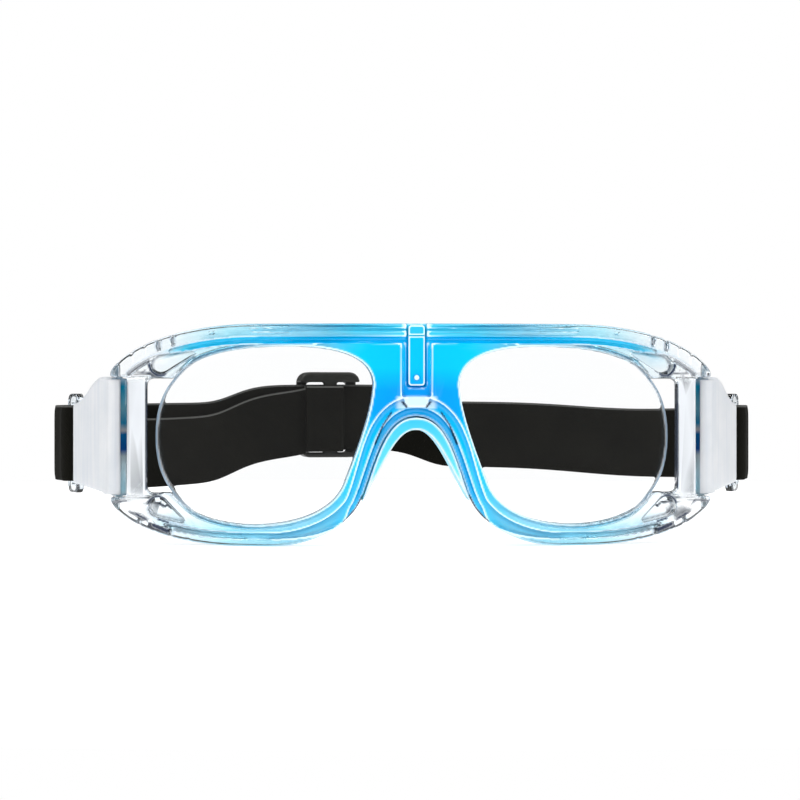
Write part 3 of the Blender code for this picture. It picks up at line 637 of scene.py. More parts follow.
def lens_plastic(name):
    """Clear lens whose ground edge catches a soft blue-grey light."""
    n = Nodes(name)
    cloud = n.ramp(n.noise(30.0), (0.3, (0.985, 0.995, 1.0)), (0.8, (0.995, 1.0, 1.0)))
    edge = n.attribute("crest")
    colour = n.mix(edge, cloud, (0.42, 0.56, 0.70, 1.0))
    clear = n.minus(1.0, n.times(edge, 0.7))
    rough = n.ramp(n.noise(1500.0), (0.4, 0.0), (0.9, 0.01))
    return n.surface(Base_Color=colour, Transmission_Weight=clear, Roughness=rough, IOR=1.5)


def soft_pad(name):
    n = Nodes(name)
    height = n.uneven(n.height_share(), 140.0, 0.12)
    colour = n.ramp(height, (0.15, (0.20, 0.80, 0.98)), (0.45, (0.10, 0.72, 0.97)),
                    (0.60, (0.03, 0.62, 0.93)))
    # painted highlight: near-white along the pad's convex edges
    colour = n.cover("crest", 1.0, colour, (0.85, 0.96, 1.0, 1.0))
    grain = n.bump(n.noise(1600.0, 4.0), 0.15, 0.0002)
    return n.surface(Base_Color=colour, Transmission_Weight=0.25, Roughness=0.32, IOR=1.42,
                     Subsurface_Weight=0.3, Subsurface_Radius=(0.002, 0.004, 0.005),
                     Subsurface_Scale=0.5, Normal=grain)


def milky_sleeve(name):
    """Milky soft plastic with faint upright draw lines."""
    n = Nodes(name)
    place = n.place()
    stretched = n.add("Mapping", {"Vector": place, "Scale": (900.0, 900.0, 30.0)}).outputs[0]
    lines = n.noise(1.0, 2.0, stretched)
    cloud = n.noise(110.0)
    milk = n.ramp(cloud, (0.3, (0.62, 0.645, 0.675)), (0.7, (0.70, 0.71, 0.73)))
    colour = n.mix(n.ramp(lines, (0.42, 0.0), (0.75, 0.5)), milk, (0.52, 0.57, 0.64, 1.0))
    grain = n.bump(lines, 0.18, 0.0002)
    return n.surface(Base_Color=colour, Transmission_Weight=0.12, Roughness=0.42, IOR=1.41,
                     Subsurface_Weight=0.4, Subsurface_Radius=(0.004, 0.004, 0.004),
                     Subsurface_Scale=0.4, Normal=grain)


def pin_colour(n):
    """Blue that gathers in bands along the hinge, and is clear at its ends."""
    height = n.uneven(n.height_share(), 200.0, 0.02)
    return n.ramp(height, (0.20, (0.80, 0.92, 0.97)), (0.25, (0.50, 0.84, 0.97)),
                  (0.40, (0.78, 0.93, 0.99)), (0.43, (0.01, 0.16, 0.60)), (0.50, (0.01, 0.28, 0.72)),
                  (0.52, (0.86, 0.88, 0.9)), (0.55, (0.05, 0.48, 0.83)), (0.62, (0.30, 0.76, 0.94)),
                  (0.72, (0.0, 0.56, 0.90)), (0.76, (0.60, 0.75, 0.85)))


def pin_plastic(name):
    n = Nodes(name)
    return n.surface(Base_Color=pin_colour(n), Transmission_Weight=0.5, Roughness=0.12, IOR=1.5)


def arm_plastic(name):
    """Clear plastic that takes the blue of the pin inside its knuckle."""
    n = Nodes(name)
    cloud = n.ramp(n.noise(90.0), (0.35, (0.93, 0.965, 0.985)), (0.75, (0.86, 0.92, 0.97)))
    colour = n.mix(n.attribute("knuckle"), cloud, pin_colour(n))
    # painted shade: darker blue-grey along the convex edges, and near-black in the creases
    colour = n.cover("crest", 0.6, colour, (0.35, 0.45, 0.58, 1.0))
    colour = n.cover("hollow_shade", 0.8, colour, (0.02, 0.03, 0.06, 1.0))
    clear = n.minus(1.0, n.attribute("knuckle", 0.55))
    ripple = n.bump(n.noise(260.0, 2.0), 0.10, 0.0004)
    rough = n.ramp(n.noise(800.0), (0.3, 0.03), (0.8, 0.07))
    return n.surface(Base_Color=colour, Transmission_Weight=clear, Roughness=rough, IOR=1.49,
                     Normal=ripple)


def webbing(name):
    """Woven elastic: lengthwise ribs crossed by a fine weft, with a painted highlight along its upper
    edge.
    """
    n = Nodes(name)
    along, across = n.axes(n.add("TexCoord").outputs["UV"])[:2]

    def wave(value, pitch):
        return n.math("SINE", n.times(value, 2 * pi / pitch))
    ribs = wave(across, 0.00085)
    picks = wave(along, 0.0007)
    twill = wave(n.plus(along, n.times(across, 0.8)), 0.0019)
    weave = n.times(n.math("MAXIMUM", n.times(ribs, picks), -0.6), 0.7)
    weave = n.plus(weave, n.times(twill, 0.25))
    fuzz = n.noise(2600.0, 4.0)
    height = n.plus(weave, n.times(fuzz, 0.5))
    base = n.ramp(n.noise(70.0), (0.3, (0.0024, 0.0024, 0.0015)), (0.75, (0.0052, 0.0050, 0.0034)))
    colour = n.mix(n.ramp(weave, (0.45, 0.0), (0.95, 0.5)), base, (0.009, 0.0088, 0.0062, 1.0))
    # painted highlight: a lighter line along the strap's upper edge
    edge_highlight = n.math("COMPARE", across, 0.0198, 0.00025)
    colour = n.mix(n.times(edge_highlight, 0.8), colour, (0.10, 0.10, 0.095, 1.0))
    return n.surface(Base_Color=colour, Roughness=0.85, Specular_IOR_Level=0.08,
                     Normal=n.bump(height, 0.35, 0.00012))


def thread(name):
    n = Nodes(name)
    twist = n.noise(3000.0, 2.0)
    colour = n.ramp(twist, (0.3, (0.010, 0.010, 0.009)), (0.8, (0.045, 0.044, 0.040)))
    return n.surface(Base_Color=colour, Roughness=0.6, Normal=n.bump(twist, 0.4, 0.0001))


def slider_plastic(name):
    n = Nodes(name)
    grain = n.noise(1800.0, 4.0)
    colour = n.ramp(n.noise(120.0), (0.3, (0.007, 0.007, 0.005)), (0.8, (0.013, 0.013, 0.010)))
    rough = n.ramp(grain, (0.3, 0.36), (0.8, 0.52))
    return n.surface(Base_Color=colour, Roughness=rough, Specular_IOR_Level=0.25,
                     Normal=n.bump(grain, 0.2, 0.0002))


# ---- the front
def through(name, outline, side=1, y0=CUT_FRONT, y1=CUT_BACK):
    """A cutter of the outline on one side of the middle, by default right through the front."""
    return slab(name, [mirrored(outline, side)], y0, y1)


def eye_tools(side):
    """What is cut away at each eye: the opening, the lens's groove and the vent slot."""
    y0, y1 = LENS_DEPTHS
    groove = grown(lens_outline(), LENS_ROOM)
    return (through("opening", lens_edge(), side),
            through("groove", groove, side, y0 - LENS_ROOM, y1 + LENS_ROOM),
            through("vent", box_outline(LENS_OUTER - 8, POST_INNER, *VENT, 1.5), side))


def pocket_centres():
    return (POST_INNER - 3.4, HEIGHT - 10.2), (POST_INNER - 2.8, 9.6)


def side_tools(side):
    """The notch for the arm, the relief behind the post, the pin's hole and the two pockets."""
    out = HALF_WIDTH + 2
    tools = [through("notch", box_outline(POST_OUTER, out, *NOTCH), side),
             through("relief", box_outline(POST_INNER - 3, out, *NOTCH), side, 5),
             rod("hole", PIN_X * side, PIN_SETBACK, -2, HEIGHT, BORE_RADIUS)]
    for centre, reach in zip(pocket_centres(), ((-10.5, 3.6), (-7.9, -4.4))):
        tip = (centre[0] + reach[0], centre[1] + reach[1])
        tools.append(through("pocket", teardrop(centre, 2.5, tip), side, y1=POCKET_DEPTH))
    return tools


def band(line, near, far, depth):
    """A cutter between two offsets of an open line."""
    loop = offset_open(line, near) + list(reversed(offset_open(line, far)))
    return through("band", loop, y1=depth)


def nose_line():
    """From the middle of the arch down a leg and along the bottom toward the corner."""
    bottom = [point for point in bottom_edge() if point[0] < HALF_WIDTH - 9]
    return list(reversed(arch_edge()))[:-1] + list(reversed(bottom))


def groove_tools():
    """Grooves that leave a ridge along the top and the bottom, and the stepped nose recess."""
    top = both_sides([point for point in top_edge() if point[0] <= HALF_WIDTH - 14])
    tools = [band(top, -3.4, -4.9, TOP_GROOVE_DEPTH), band(top, -1.3, -1.9, HAIRLINE_DEPTH)]
    corner = [point for point in top_edge() if HALF_WIDTH - 12 < point[0] < HALF_WIDTH - 0.8]
    for side in SIDES.values():
        tools.append(band(mirrored(corner, side), -3.6 * side, -4.6 * side, CORNER_GROOVE_DEPTH))
    half = nose_line()
    legs = len(arch_edge()) / len(half)

    def near(s):
        return -0.6 + 2.6 * fade(abs(2 * s - 1), legs * 0.9, legs * 1.9)

    def far(s):
        away = abs(2 * s - 1)
        return 4.9 - 1.6 * fade(away, 0, legs) - 2.2 * fade(away, 0.93, 1.0)

    def inner_step(s):
        return 2.1 - 0.6 * fade(abs(2 * s - 1), 0, 0.6) - 2.0 * fade(abs(2 * s - 1), 0.8, 1.0)
    line = both_sides(half)
    tools.append(band(line, lambda s: min(near(s), far(s) - 0.2), far, RECESS_DEPTH))
    tools.append(band([p for p in line if abs(p[0]) < 20], -0.6, inner_step, STEP_DEPTH))
    return tools


def detail_tools():
    """The clip's channel and the narrow slots that break the rim into blocks."""
    tools = [through("channel", box_outline(-3.7, 3.7, 37.4, HEIGHT - 3.6, 0.4), y1=0.9),
             through("clip_bed", box_outline(-2.5, 2.5, CLIP_LOW.z - 0.4, HEIGHT + 2, 0.4), y1=1.8)]
    rows = ((top_edge(), 3.0, ((61.2, 0.7), (64.9, 1.0), (68.6, 0.7), (72.0, 0.7))),
            (bottom_edge(), 2.0, ((57.2, 0.7), (62.0, 1.0), (65.8, 0.7), (70.0, 0.7))))
    for side in SIDES.values():
        for line, below, slots in rows:
            for x, width in slots:
                edge = height_at(line, x)
                left, right = x * side - width / 2, x * side + width / 2
                outline = box_outline(left, right, edge - below, edge + 2, 0.15)
                tools.append(through("slot", outline, y1=SLOT_DEPTH))
    return tools


def height_at(line, x):
    return min(line, key=lambda point: abs(point[0] - x))[1]


class GOGGLES_OT_front(Operator):
    """Build the clear front with its tinted bridge, and the clip set into it"""
    bl_idname = "goggles.front"
    bl_label = "Front"

    def execute(self, context):
        shell = slab("front", [frame_outline()], 0, RIM_DEPTH, 0.8)
        for side in SIDES.values():
            carve(shell, *eye_tools(side))
            carve(shell, *side_tools(side))
        carve(shell, *groove_tools())
        carve(shell, *detail_tools())
        boss = slab("boss", [box_outline(*BOSS, 0.5)], 0.1, 4.0, 0.2)
        for x in (-1.5, 0.0, 1.5):
            carve(boss, slab("facet", [box_outline(x - 0.22, x + 0.22, 35.5, 36.9, 0.1)], -1, 0.7))
        carve(shell, boss, operation="UNION")
        soften(shell, settings().fineness * UNIT)
        thin_out(shell)
        paint_front(shell)
        bend_round_face(shell)
        material = tinted_plastic("tinted front plastic")
        finish(shell, "front_shell", material, "frame", ("front_frame",))
        self.clip(material)
        return {"FINISHED"}

    def clip(self, material):
        outline = box_outline(CLIP_LOW.x, CLIP_HIGH.x, CLIP_LOW.z, CLIP_HIGH.z, 0.7)
        clip = slab("clip", [outline], 0.2, 1.5, 0.25)
        carve(clip, slab("line", [box_outline(-3, 3, HEIGHT - 3.3, HEIGHT - 2.9, 0.1)], -1, 0.55))
        deselect()
        bpy.ops.mesh.primitive_uv_sphere_add(segments=32, ring_count=16, radius=0.75,
                                             location=(0, 0.45, CLIP_LOW.z + 2.0))
        dome = bpy.context.object
        bpy.ops.object.transform_apply(location=True, rotation=True, scale=True)
        carve(clip, dome, operation="UNION")
        soften(clip, 0.14, 2)
        paint_front(clip)
        finish(clip, "bridge_clip_clear", material, "frame", ("bridge_clip",))


class GOGGLES_OT_lenses(Operator):
    """Build the two clear lenses"""
    bl_idname = "goggles.lenses"
    bl_label = "Lenses"

    def execute(self, context):
        material = lens_plastic("clear lens")
        for word, side in SIDES.items():
            lens = slab("lens", [mirrored(lens_outline(), side)], *LENS_DEPTHS, 0.25)
            soften(lens, 0.45, 2)
            paint_edges(lens, 0.1, 0.5)
            bend_round_face(lens)
            finish(lens, "lens_clear_" + word, material, "frame", ("lens_" + word,))
        return {"FINISHED"}


class GOGGLES_OT_nose_pad(Operator):
    """Build the soft saddle that rests on the nose"""
    bl_idname = "goggles.nose_pad"
    bl_label = "Nose Pad"

    def execute(self, context):
        arch = both_sides(list(reversed(arch_edge())))

        def inner(s):
            return -PAD_GAP - 0.15 - 2.95 * (1 - abs(2 * s - 1) ** 2.2)
        loop = offset_open(arch, -PAD_GAP) + list(reversed(offset_open(arch, inner)))
        pad = slab("pad", [loop], *PAD_DEPTHS, 0.3)
        soften(pad, 0.3, 3)
        paint_edges(pad)
        bend_round_face(pad)
        finish(pad, "nose_saddle", soft_pad("soft blue silicone"), "frame", ("nose_pad",))
        return {"FINISHED"}


# ---- the arms
def arm_place(side):
    """Turns a piece laid out flat behind the hinge (thickness along X, length along Y) into place."""
    return Matrix.Translation((PIN_X * side, PIN_Y, 0)) @ Matrix.Rotation(-ARM_SPLAY * side, 4, "Z")


def upright_slab(name, loops, thickness, edge=0.0):
    """An outline of (length, height) given thickness across the arm."""
    obj = slab(name, loops, -thickness / 2, thickness / 2, edge)
    obj.data.transform(Matrix.Rotation(pi / 2, 4, "Z"))
    return obj


def plate_half_height(u):
    smooth = smoothed(u / SLEEVE_RUN[1])
    front = NOTCH[1] - NOTCH[0] - 1.2 - 4.4
    return (front * (1 - smooth) + 16.8 * smooth) / 2


def arm_outline():
    """The plate's upper and lower edges, and the outline of the strap's loop behind it."""
    samples = [SLEEVE_RUN[1] * i / 20 for i in range(21)]
    upper = [(u, ARM_Z + plate_half_height(u)) for u in samples]
    lower = [(u, ARM_Z - plate_half_height(u)) for u in reversed(samples)]
    start = SLEEVE_RUN[1] + 0.3
    half = 13.2
    loop = [(start, upper[-1][1]), (start, ARM_Z + half - 1), (start + 1, ARM_Z + half)]
    loop += arc((ARM_END - 2, ARM_Z + half - 2), 2, pi / 2, 0)
    loop += arc((ARM_END - 2, ARM_Z - half + 2), 2, 0, -pi / 2)
    loop += [(start + 1, ARM_Z - half), (start, ARM_Z - half + 1), (start, lower[0][1])]
    return upper, lower, loop


def sleeve_outline():
    front, rear = 29.6 / 2, 21.2 / 2
    start, end = SLEEVE_RUN
    top_front, top_rear = (start, NOTCH_MIDDLE + front), (end, ARM_Z + rear)
    run = end - start
    swell = top_front[1] + 3.4
    upper = bezier(top_front, (start + run * 0.34, swell), (end - run * 0.45, top_rear[1] + 0.6), top_rear)
    return upper + [top_rear, (end, ARM_Z - rear), (start, NOTCH_MIDDLE - front)]


class GOGGLES_OT_arms(Operator):
    """Build the clear temple arms, their hinge pins and their soft sleeves"""
    bl_idname = "goggles.arms"
    bl_label = "Arms"

    def execute(self, context):
        clear = arm_plastic("clear arm plastic")
        milk = milky_sleeve("milky silicone")
        blue = pin_plastic("blue pin plastic")
        for word, side in SIDES.items():
            self.arm(word, side, clear)
            self.sleeve(word, side, milk)
            self.pin(word, side, blue)
        return {"FINISHED"}

    def arm(self, word, side, material):
        upper, lower, loop = arm_outline()
        arm = upright_slab("arm", [upper + loop + lower], ARM_THICKNESS, 0.35)
        knuckle = rod("knuckle", 0, 0, NOTCH[0] + 0.3, NOTCH[1] - 0.3, KNUCKLE_RADIUS)
        carve(arm, knuckle, operation="UNION")
        carve(arm, rod("bore", 0, 0, 0, HEIGHT, BORE_RADIUS))
        half = STRAP_WIDTH / 2 + 0.6
        slot = box_outline(*SLOT_RUN, ARM_Z - half, ARM_Z + half, 0.5)
        carve(arm, upright_slab("slot", [slot], 6))
        soften(arm, 0.3, 3)
        paint_edges(arm)
        x, y = coordinates(arm).T[:2]
        store(arm, "knuckle", 1 - fade(np.hypot(x, y), 2.1, 2.6))
        finish(arm, "arm_clear_" + word, material, "arm_" + word, ("arm_" + word,),
               arm_place(side))

    def sleeve(self, word, side, material):
        outline = sleeve_outline()
        sleeve = upright_slab("sleeve", [outline], SLEEVE_THICKNESS, 1.0)
        soften(sleeve, 0.35, 1)
        panel = grown(outline, -2.0)
        line = grown(outline, -2.6)
        for way in (1, -1):
            ring = upright_slab("ring", [panel, line], 1.0)
            ring.data.transform(Matrix.Translation((way * 2.75, 0, 0)))
            carve(sleeve, ring)
        low, high = NOTCH[0] + 0.6, NOTCH[1] - 0.6
        carve(sleeve, rod("hood", 0, 0, low, high, 3.1), operation="UNION")
        hood_join = upright_slab("hood_join", [box_outline(0, 5, low, high, 0.5)], 5.0)
        carve(sleeve, hood_join, operation="UNION")
        behind = box_outline(-4, SLEEVE_RUN[0] - 0.2, low - 1, high + 1)
        inner_side = upright_slab("inner_side", [behind], 4)
        inner_side.data.transform(Matrix.Translation((-side * 1.4, 0, 0)))
        carve(sleeve, inner_side)
        carve(sleeve, rod("knuckle_room", 0, 0, low - 1, high + 1, KNUCKLE_RADIUS + 0.3))
        upper, lower = arm_outline()[:2]
        pocket = grown(upper + lower, 0.3)
        pocket = [(u - 2 if u < 1 else u + 2 if u > SLEEVE_RUN[1] - 1 else u, z) for u, z in pocket]
        carve(sleeve, upright_slab("pocket", [pocket], ARM_THICKNESS + 0.6))
        soften(sleeve, 0.3, 3)
        finish(sleeve, "sleeve_soft_" + word, material, "arm_" + word,
               ("sleeve_" + word,), arm_place(side))

    def pin(self, word, side, material):
        pin = rod("pin", PIN_X * side, PIN_Y, PIN_LOW.z, PIN_HIGH.z, PIN_RADIUS)
        apply_modifier(pin, "BEVEL", width=0.25, segments=4, limit_method="ANGLE")
        finish(pin, "pin_blue_" + word, material, "frame", ("hinge_pin_" + word,),
               Matrix.Identity(4))


# ---- the strap
def strap_z(x):
    back = 1.0 * (1 - (x / STRAP_RADIUS) ** 2)
    sag = 1.6 * exp(-((x - 72) / 22) ** 2) * smoothed((STRAP_RADIUS - abs(x)) / 8)
    return ARM_Z + back - sag + 5.2 * exp(-((x - SLIDER_X) / 30.0) ** 6)


def strap_point(angle, inward=0.0, sag=0.0):
    """A point on the strap's curve round the head; angle 0 is the middle of the back."""
    radius = STRAP_RADIUS - inward
    x = radius * sin(angle)
    return Vector((x, STRAP_CENTRE_Y + radius * cos(angle), strap_z(x) - sag))


def bend_path(side):
    """Round the bar of an arm's loop, from the outer leg to the inner one."""
    bar = Vector((PIN_X + BAR_U * sin(ARM_SPLAY), PIN_Y + BAR_U * cos(ARM_SPLAY), ARM_Z))
    outer_start = Vector((STRAP_RADIUS, STRAP_CENTRE_Y, ARM_Z))
    leg = []
    for i in range(9):
        share = i / 8
        x = STRAP_RADIUS + (bar.x + BEND_RADIUS - STRAP_RADIUS) * smoothed(share)
        leg.append(Vector((x, outer_start.y + (bar.y - outer_start.y) * share, ARM_Z)))
    turn = [Vector((x, y, ARM_Z)) for x, y in arc((bar.x, bar.y), BEND_RADIUS, 0, -pi, 16)]
    path = leg[:-1] + turn
    return [Vector((p.x * side, p.y, p.z)) for p in path], bar


def folded_point(angle):
    """A point of the folded-back layer, which closes in on the strap and hangs lower between."""
    last = SLIDER_ANGLE - 8.6 / STRAP_RADIUS
    share = (angle + pi / 2) / (last + pi / 2)
    inward = LAYER_GAP + (3.6 - LAYER_GAP) * share
    sag = 4.4 * sqrt(max(sin(pi * min(0.02 + 0.96 * share, 1.0)), 0.0)) * smoothed(share * 5)
    return strap_point(angle, inward, sag)


def stretch(start, end, point_at=strap_point):
    """Points from one angle to another, a small step apart."""
    steps = round(abs(end - start) / STRAP_STEP)
    return [point_at(start + (end - start) * i / steps) for i in range(steps + 1)]


def ribbon(name, path, material, replaced, body=None, place=Matrix.Identity(4), run_from=0.0):
    """Woven webbing along a path of centre points, with soft edges and its own UV map in metres."""
    count = len(path)
    half, thin = STRAP_WIDTH / 2, STRAP_THICKNESS / 2
    section = []
    for i in range(17):
        v = -1 + 2 * i / 16
        section.append((thin * (1 - 0.45 * abs(v) ** 10), half * v))
    tip = (0.0, half * 1.012)
    ring = section + [tip] + [(-t, z) for t, z in reversed(section)] + [(tip[0], -tip[1])]
    bm = bmesh.new()
    uv_layer = bm.loops.layers.uv.new("UVMap")
    lengths = [run_from]
    for a, b in zip(path, path[1:]):
        lengths.append(lengths[-1] + (b - a).length)
    rows = []
    for i, centre in enumerate(path):
        along = path[min(i + 1, count - 1)] - path[max(i - 1, 0)]
        across = Vector((along.y, -along.x, 0)).normalized()
        rows.append([bm.verts.new(centre + across * t + Vector((0, 0, z))) for t, z in ring])
    size = len(ring)
    for i in range(count - 1):
        for k in range(size):
            m = (k + 1) % size
            face = bm.faces.new((rows[i][k], rows[i][m], rows[i + 1][m], rows[i + 1][k]))
            where = ((i, k), (i, k + 1), (i + 1, k + 1), (i + 1, k))
            for loop, (row, column) in zip(face.loops, where):
                z = ring[column % size][1]
                loop[uv_layer].uv = (lengths[row] / UNIT, (z + half) / UNIT)
    bm.faces.new(rows[0])
    bm.faces.new(list(reversed(rows[-1])))
    bmesh.ops.recalc_face_normals(bm, faces=bm.faces)
    mesh = bpy.data.meshes.new(name)
    bm.to_mesh(mesh)
    bm.free()
    obj = new_object(name, mesh)
    finish(obj, name, material, body, replaced, place, 60)
    return obj, lengths[-1] - run_from


def stitches(centres, along, out, length=1.25, radius=0.16):
    """Short threads that stand a little proud of the webbing."""
    made = []
    for centre in centres:
        deselect()
        bpy.ops.mesh.primitive_uv_sphere_add(segments=8, ring_count=6, radius=1, location=(0, 0, 0))
        obj = bpy.context.object
        side = along.cross(out)
        turn = Matrix((along * length / 2, out * radius, side * radius)).transposed().to_4x4()
        obj.data.transform(Matrix.Translation(centre) @ turn)
        made.append(obj)
    select_only(*made)
    bpy.ops.object.join()
    obj = bpy.context.object
    close_up(obj)
    return obj


class GOGGLES_OT_strap(Operator):
    """Build the elastic strap: its two sides, the layer folded back, and its sewn ends"""
    bl_idname = "goggles.strap"
    bl_label = "Strap"

    def execute(self, context):
        fabric = webbing(ELASTIC)
        self.left_side(fabric, thread("black thread"))
        length = self.right_side(fabric)
        self.tail(fabric, length)
        return {"FINISHED"}

    def blend_to_arm(self, piece, word, side):
        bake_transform(piece)

    def left_side(self, fabric, sewing):
        """From inside the slider round the wearer's left to the arm, and a short sewn flap."""
        bend, bar = bend_path(1)
        flap_end = 16.0
        flap = []
        for i in range(1, 13):
            share = i / 12
            inward = LAYER_GAP - (LAYER_GAP - 1.45) * smoothed(share * 1.25)
            flap.append(Vector((STRAP_RADIUS - inward, bar.y + flap_end * share, ARM_Z)))
        path = stretch(SLIDER_ANGLE, pi / 2)[:-1] + bend + flap
        piece, length = ribbon("strap_left_side", path, fabric, ("strap_band", "strap_end_left"))
        self.blend_to_arm(piece, "left", 1)
        rows = []
        for dy in (-3.2, -0.6):
            y = bar.y + flap_end + dy
            rows += [Vector((STRAP_RADIUS + 0.68, y, ARM_Z - 8.4 + 16.8 * k / 10)) for k in range(11)]
        sewn = stitches(rows, Vector((0, 0, 1)), Vector((1, 0, 0)))
        finish(sewn, "strap_stitching", sewing, None, (), Matrix.Identity(4), 60)
        self.blend_to_arm(sewn, "left", 1)

    def right_side(self, fabric):
        """From the slider round the wearer's right, through the arm's loop and back inside."""
        bend, bar = bend_path(-1)
        inner = stretch(-pi / 2, SPLIT, folded_point)
        start = Vector((-(STRAP_RADIUS - LAYER_GAP), bar.y, ARM_Z))
        legs = [start + (inner[0] - start) * (i / 9) for i in range(1, 9)]
        path = stretch(SLIDER_ANGLE, -pi / 2)[:-1] + bend + legs + inner
        piece, length = ribbon("strap_right_side", path, fabric, ("strap_end_right",))
        self.blend_to_arm(piece, "right", -1)
        return length

    def tail(self, fabric, run_from):
        """The folded-back layer's last stretch, which follows the slider along the strap."""
        last = SLIDER_ANGLE - 8.2 / STRAP_RADIUS
        path = stretch(SPLIT, last, folded_point)
        piece, length = ribbon("strap_return_tail", path, fabric, ("strap_return",), run_from=run_from)
        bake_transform(piece)


def slider_place():
    return Matrix.Translation((0, STRAP_CENTRE_Y, 0)) @ Matrix.Rotation(-SLIDER_ANGLE, 4, "Z")


class GOGGLES_OT_slider(Operator):
    """Build the three-bar slider and the webbing sewn round its middle bar"""
    bl_idname = "goggles.slider"
    bl_label = "Slider"

    def execute(self, context):
        half_z = (SLIDER_HIGH.z - SLIDER_LOW.z) / 2
        middle = (SLIDER_HIGH.z + SLIDER_LOW.z) / 2
        y0, y1 = STRAP_RADIUS - 4.45, STRAP_RADIUS + 3.15
        body = slab("slider", [box_outline(-9.4, 9.4, middle - half_z, middle + half_z, 3.2)], y0, y1, 0.9)
        bay = (strap_z(SLIDER_X) - STRAP_WIDTH / 2 - 0.85, strap_z(SLIDER_X) + STRAP_WIDTH / 2 + 0.85)
        rooms = [((-12, 12), 0.6, STRAP_RADIUS - 2.85, STRAP_RADIUS + 1.55),
                 ((-6.4, 6.4), 1.2, STRAP_RADIUS, y1 + 2),
                 ((2.0, 12.0), 0.6, y0 - 2, STRAP_RADIUS),
                 ((-12.0, -2.0), 0.6, y0 - 2, STRAP_RADIUS)]
        for run, radius, near, far in rooms:
            carve(body, slab("room", [box_outline(*run, *bay, radius)], near, far))
        soften(body, 0.28, 3)
        finish(body, "slider_body", slider_plastic("black slider plastic"), "slider",
               ("slider",), slider_place())
        self.loop(bpy.data.materials[ELASTIC])
        return {"FINISHED"}

    def loop(self, fabric):
        """The webbing that is sewn round the middle bar."""
        bar = STRAP_RADIUS - 3.65
        reach = BAR_THICKNESS / 2 + 0.3 + STRAP_THICKNESS / 2
        fold = arc((2.0, bar), reach, pi / 2, -pi / 2, 14)
        outer = [(-8.0 + i * 10.0 / 8, bar + reach) for i in range(8)]
        inner = [(2.0 - i * 10.0 / 8, bar - reach) for i in range(1, 9)]
        path = []
        for x, y in outer + fold + inner:
            drop = STRAP_RADIUS - sqrt(STRAP_RADIUS ** 2 - min(x, 0.0) ** 2)
            path.append(Vector((x, y - drop - 0.4 * smoothed(-x / 4), strap_z(SLIDER_X) - 0.45)))
        piece, length = ribbon("slider_webbing", path, fabric, ("slider_loop",), "slider", slider_place())


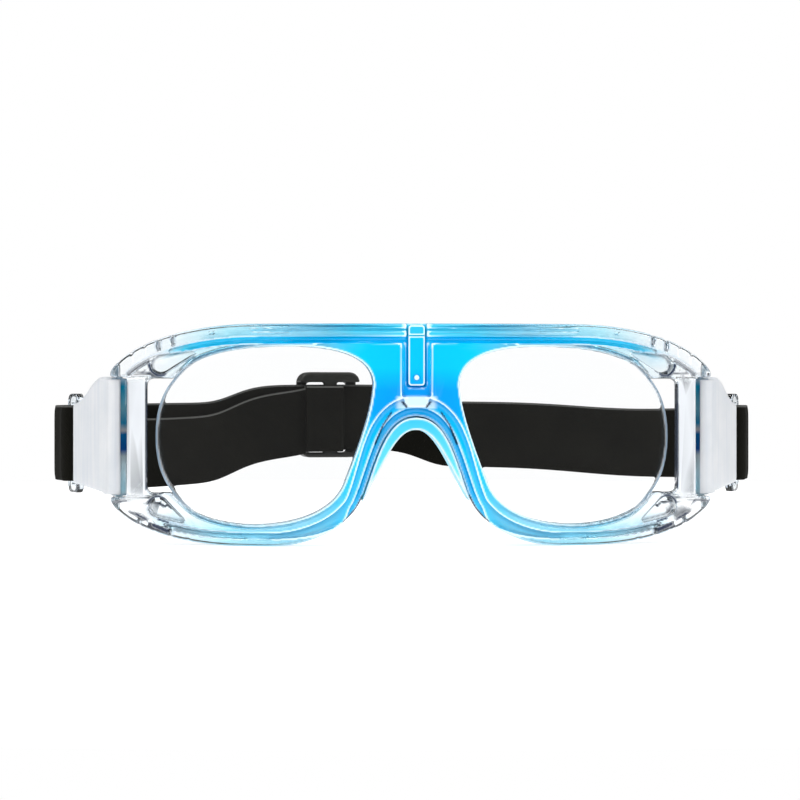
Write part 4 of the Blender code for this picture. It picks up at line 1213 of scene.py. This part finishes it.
# ---- the studio
class GOGGLES_OT_studio(Operator):
    """Build the pale floor, the soft light all round and the camera"""
    bl_idname = "goggles.studio"
    bl_label = "Studio"

    def execute(self, context):
        self.floor()
        self.light()
        self.camera()
        bpy.context.scene.view_settings.view_transform = "Standard"
        return {"FINISHED"}

    def floor(self):
        deselect()
        bpy.ops.mesh.primitive_circle_add(vertices=96, radius=FLOOR_RADIUS, fill_type="NGON",
                                          location=(0, 0, 0))
        floor = bpy.context.object
        floor.name = "floor"
        n = Nodes("pale floor")
        mottle = n.ramp(n.noise(4.0), (0.3, 0.60), (0.8, 0.62))
        floor.data.materials.append(n.surface(Base_Color=mottle, Roughness=0.9, Specular_IOR_Level=0.0,
                                              Emission_Color=(1, 1, 1, 1), Emission_Strength=0.66))

    def light(self):
        """Two soft lamps, and a world that is plain white to the eye and to rough surfaces.

        Light that passes through clear plastic meets dark cards at the sides and overhead, which
        draw its edges. Light that it turns back meets a dim room with bright strips there.
        """
        for name, spot, size, watts in LAMPS:
            lamp = bpy.data.lights.new(name, "AREA")
            lamp.size = size
            lamp.energy = watts
            obj = new_object(name, lamp)
            obj.location = spot
            obj.rotation_euler = (Vector((0, 0, 0.03)) - Vector(spot)).to_track_quat("-Z", "Y").to_euler()
        world = bpy.data.worlds.new("soft studio")
        bpy.context.scene.world = world
        n = Nodes(world)
        axes = n.axes(n.add("TexCoord").outputs["Generated"])
        heading = n.math("ABSOLUTE", n.math("ARCTAN2", axes[0], n.math("ABSOLUTE", axes[1])))
        card = n.math("COMPARE", heading, radians(67.5), radians(8.0))
        high = n.math("COMPARE", axes[2], 0.80, 0.10)
        strip = n.math("COMPARE", heading, radians(67.0), radians(4.0))
        through = n.minus(1.07, n.times(n.math("MAXIMUM", card, high), 0.98))
        mirrored = n.plus(n.times(strip, 5.0), n.times(high, 3.0))
        mirrored = n.plus(mirrored, 0.12)
        rays = n.add("LightPath").outputs
        viewer_side = n.math("LESS_THAN", axes[1], -0.2)
        turned_back = n.math("MAXIMUM", rays["Is Reflection Ray"], viewer_side)
        value = self.choose(n, turned_back, through, mirrored)
        value = self.choose(n, rays["Is Diffuse Ray"], value, 0.85)
        value = self.choose(n, rays["Is Camera Ray"], value, 1.0)
        background = n.tree.nodes["Background"]
        n.feed(background, "Strength", value)
        n.feed(background, "Color", (1, 1, 1, 1))

    def choose(self, n, test, otherwise, chosen):
        """The chosen value where test is one."""
        kept = n.times(otherwise, n.minus(1.0, test))
        return n.plus(kept, n.times(test, chosen))

    def camera(self):
        lens = bpy.data.cameras.new("camera")
        camera = new_object("camera", lens)
        forward = Vector((-sin(CAMERA_TURN), cos(CAMERA_TURN), 0))
        camera.location = Vector(CAMERA_AIM) - forward * CAMERA_DISTANCE
        camera.rotation_euler = (radians(90), 0, CAMERA_TURN)
        lens.lens = CAMERA_LENS
        lens.clip_start = 0.01
        bpy.context.scene.camera = camera


class GogglesSettings(PropertyGroup):
    bridge_tint: FloatVectorProperty(
        name="Bridge Tint", description="Colour of the bridge's thick middle",
        subtype="COLOR", size=3, min=0, max=1, default=(0.0, 0.26, 0.76))
    web_tint: FloatVectorProperty(
        name="Web Tint", description="Colour beside and above the bridge",
        subtype="COLOR", size=3, min=0, max=1, default=(0.0, 0.48, 0.89))
    fineness: FloatProperty(
        name="Fineness", description="Size of the front's mesh faces",
        subtype="DISTANCE", unit="LENGTH", default=0.00034, min=0.0003, max=0.002)


class GOGGLES_PT_panel(Panel):
    """Lists the goggles' pieces in the sidebar"""
    bl_idname = "GOGGLES_PT_panel"
    bl_label = "Goggles"
    bl_space_type = "VIEW_3D"
    bl_region_type = "UI"
    bl_category = "Goggles"

    def draw(self, context):
        for name in ("bridge_tint", "web_tint", "fineness"):
            self.layout.prop(context.scene.goggles, name)
        for operator in OPERATORS:
            self.layout.operator(operator.bl_idname)


OPERATORS = (GOGGLES_OT_front, GOGGLES_OT_lenses, GOGGLES_OT_nose_pad, GOGGLES_OT_arms,
             GOGGLES_OT_strap, GOGGLES_OT_slider, GOGGLES_OT_studio)
CLASSES = (GogglesSettings,) + OPERATORS + (GOGGLES_PT_panel,)


def register():
    for cls in CLASSES:
        bpy.utils.register_class(cls)
    bpy.types.Scene.goggles = PointerProperty(type=GogglesSettings)


def unregister():
    del bpy.types.Scene.goggles
    for cls in reversed(CLASSES):
        bpy.utils.unregister_class(cls)


def main():
    register()
    bpy.ops.goggles.front()
    bpy.ops.goggles.lenses()
    bpy.ops.goggles.nose_pad()
    bpy.ops.goggles.arms()
    bpy.ops.goggles.strap()
    bpy.ops.goggles.slider()
    bpy.ops.goggles.studio()


if __name__ == "__main__":
    main()
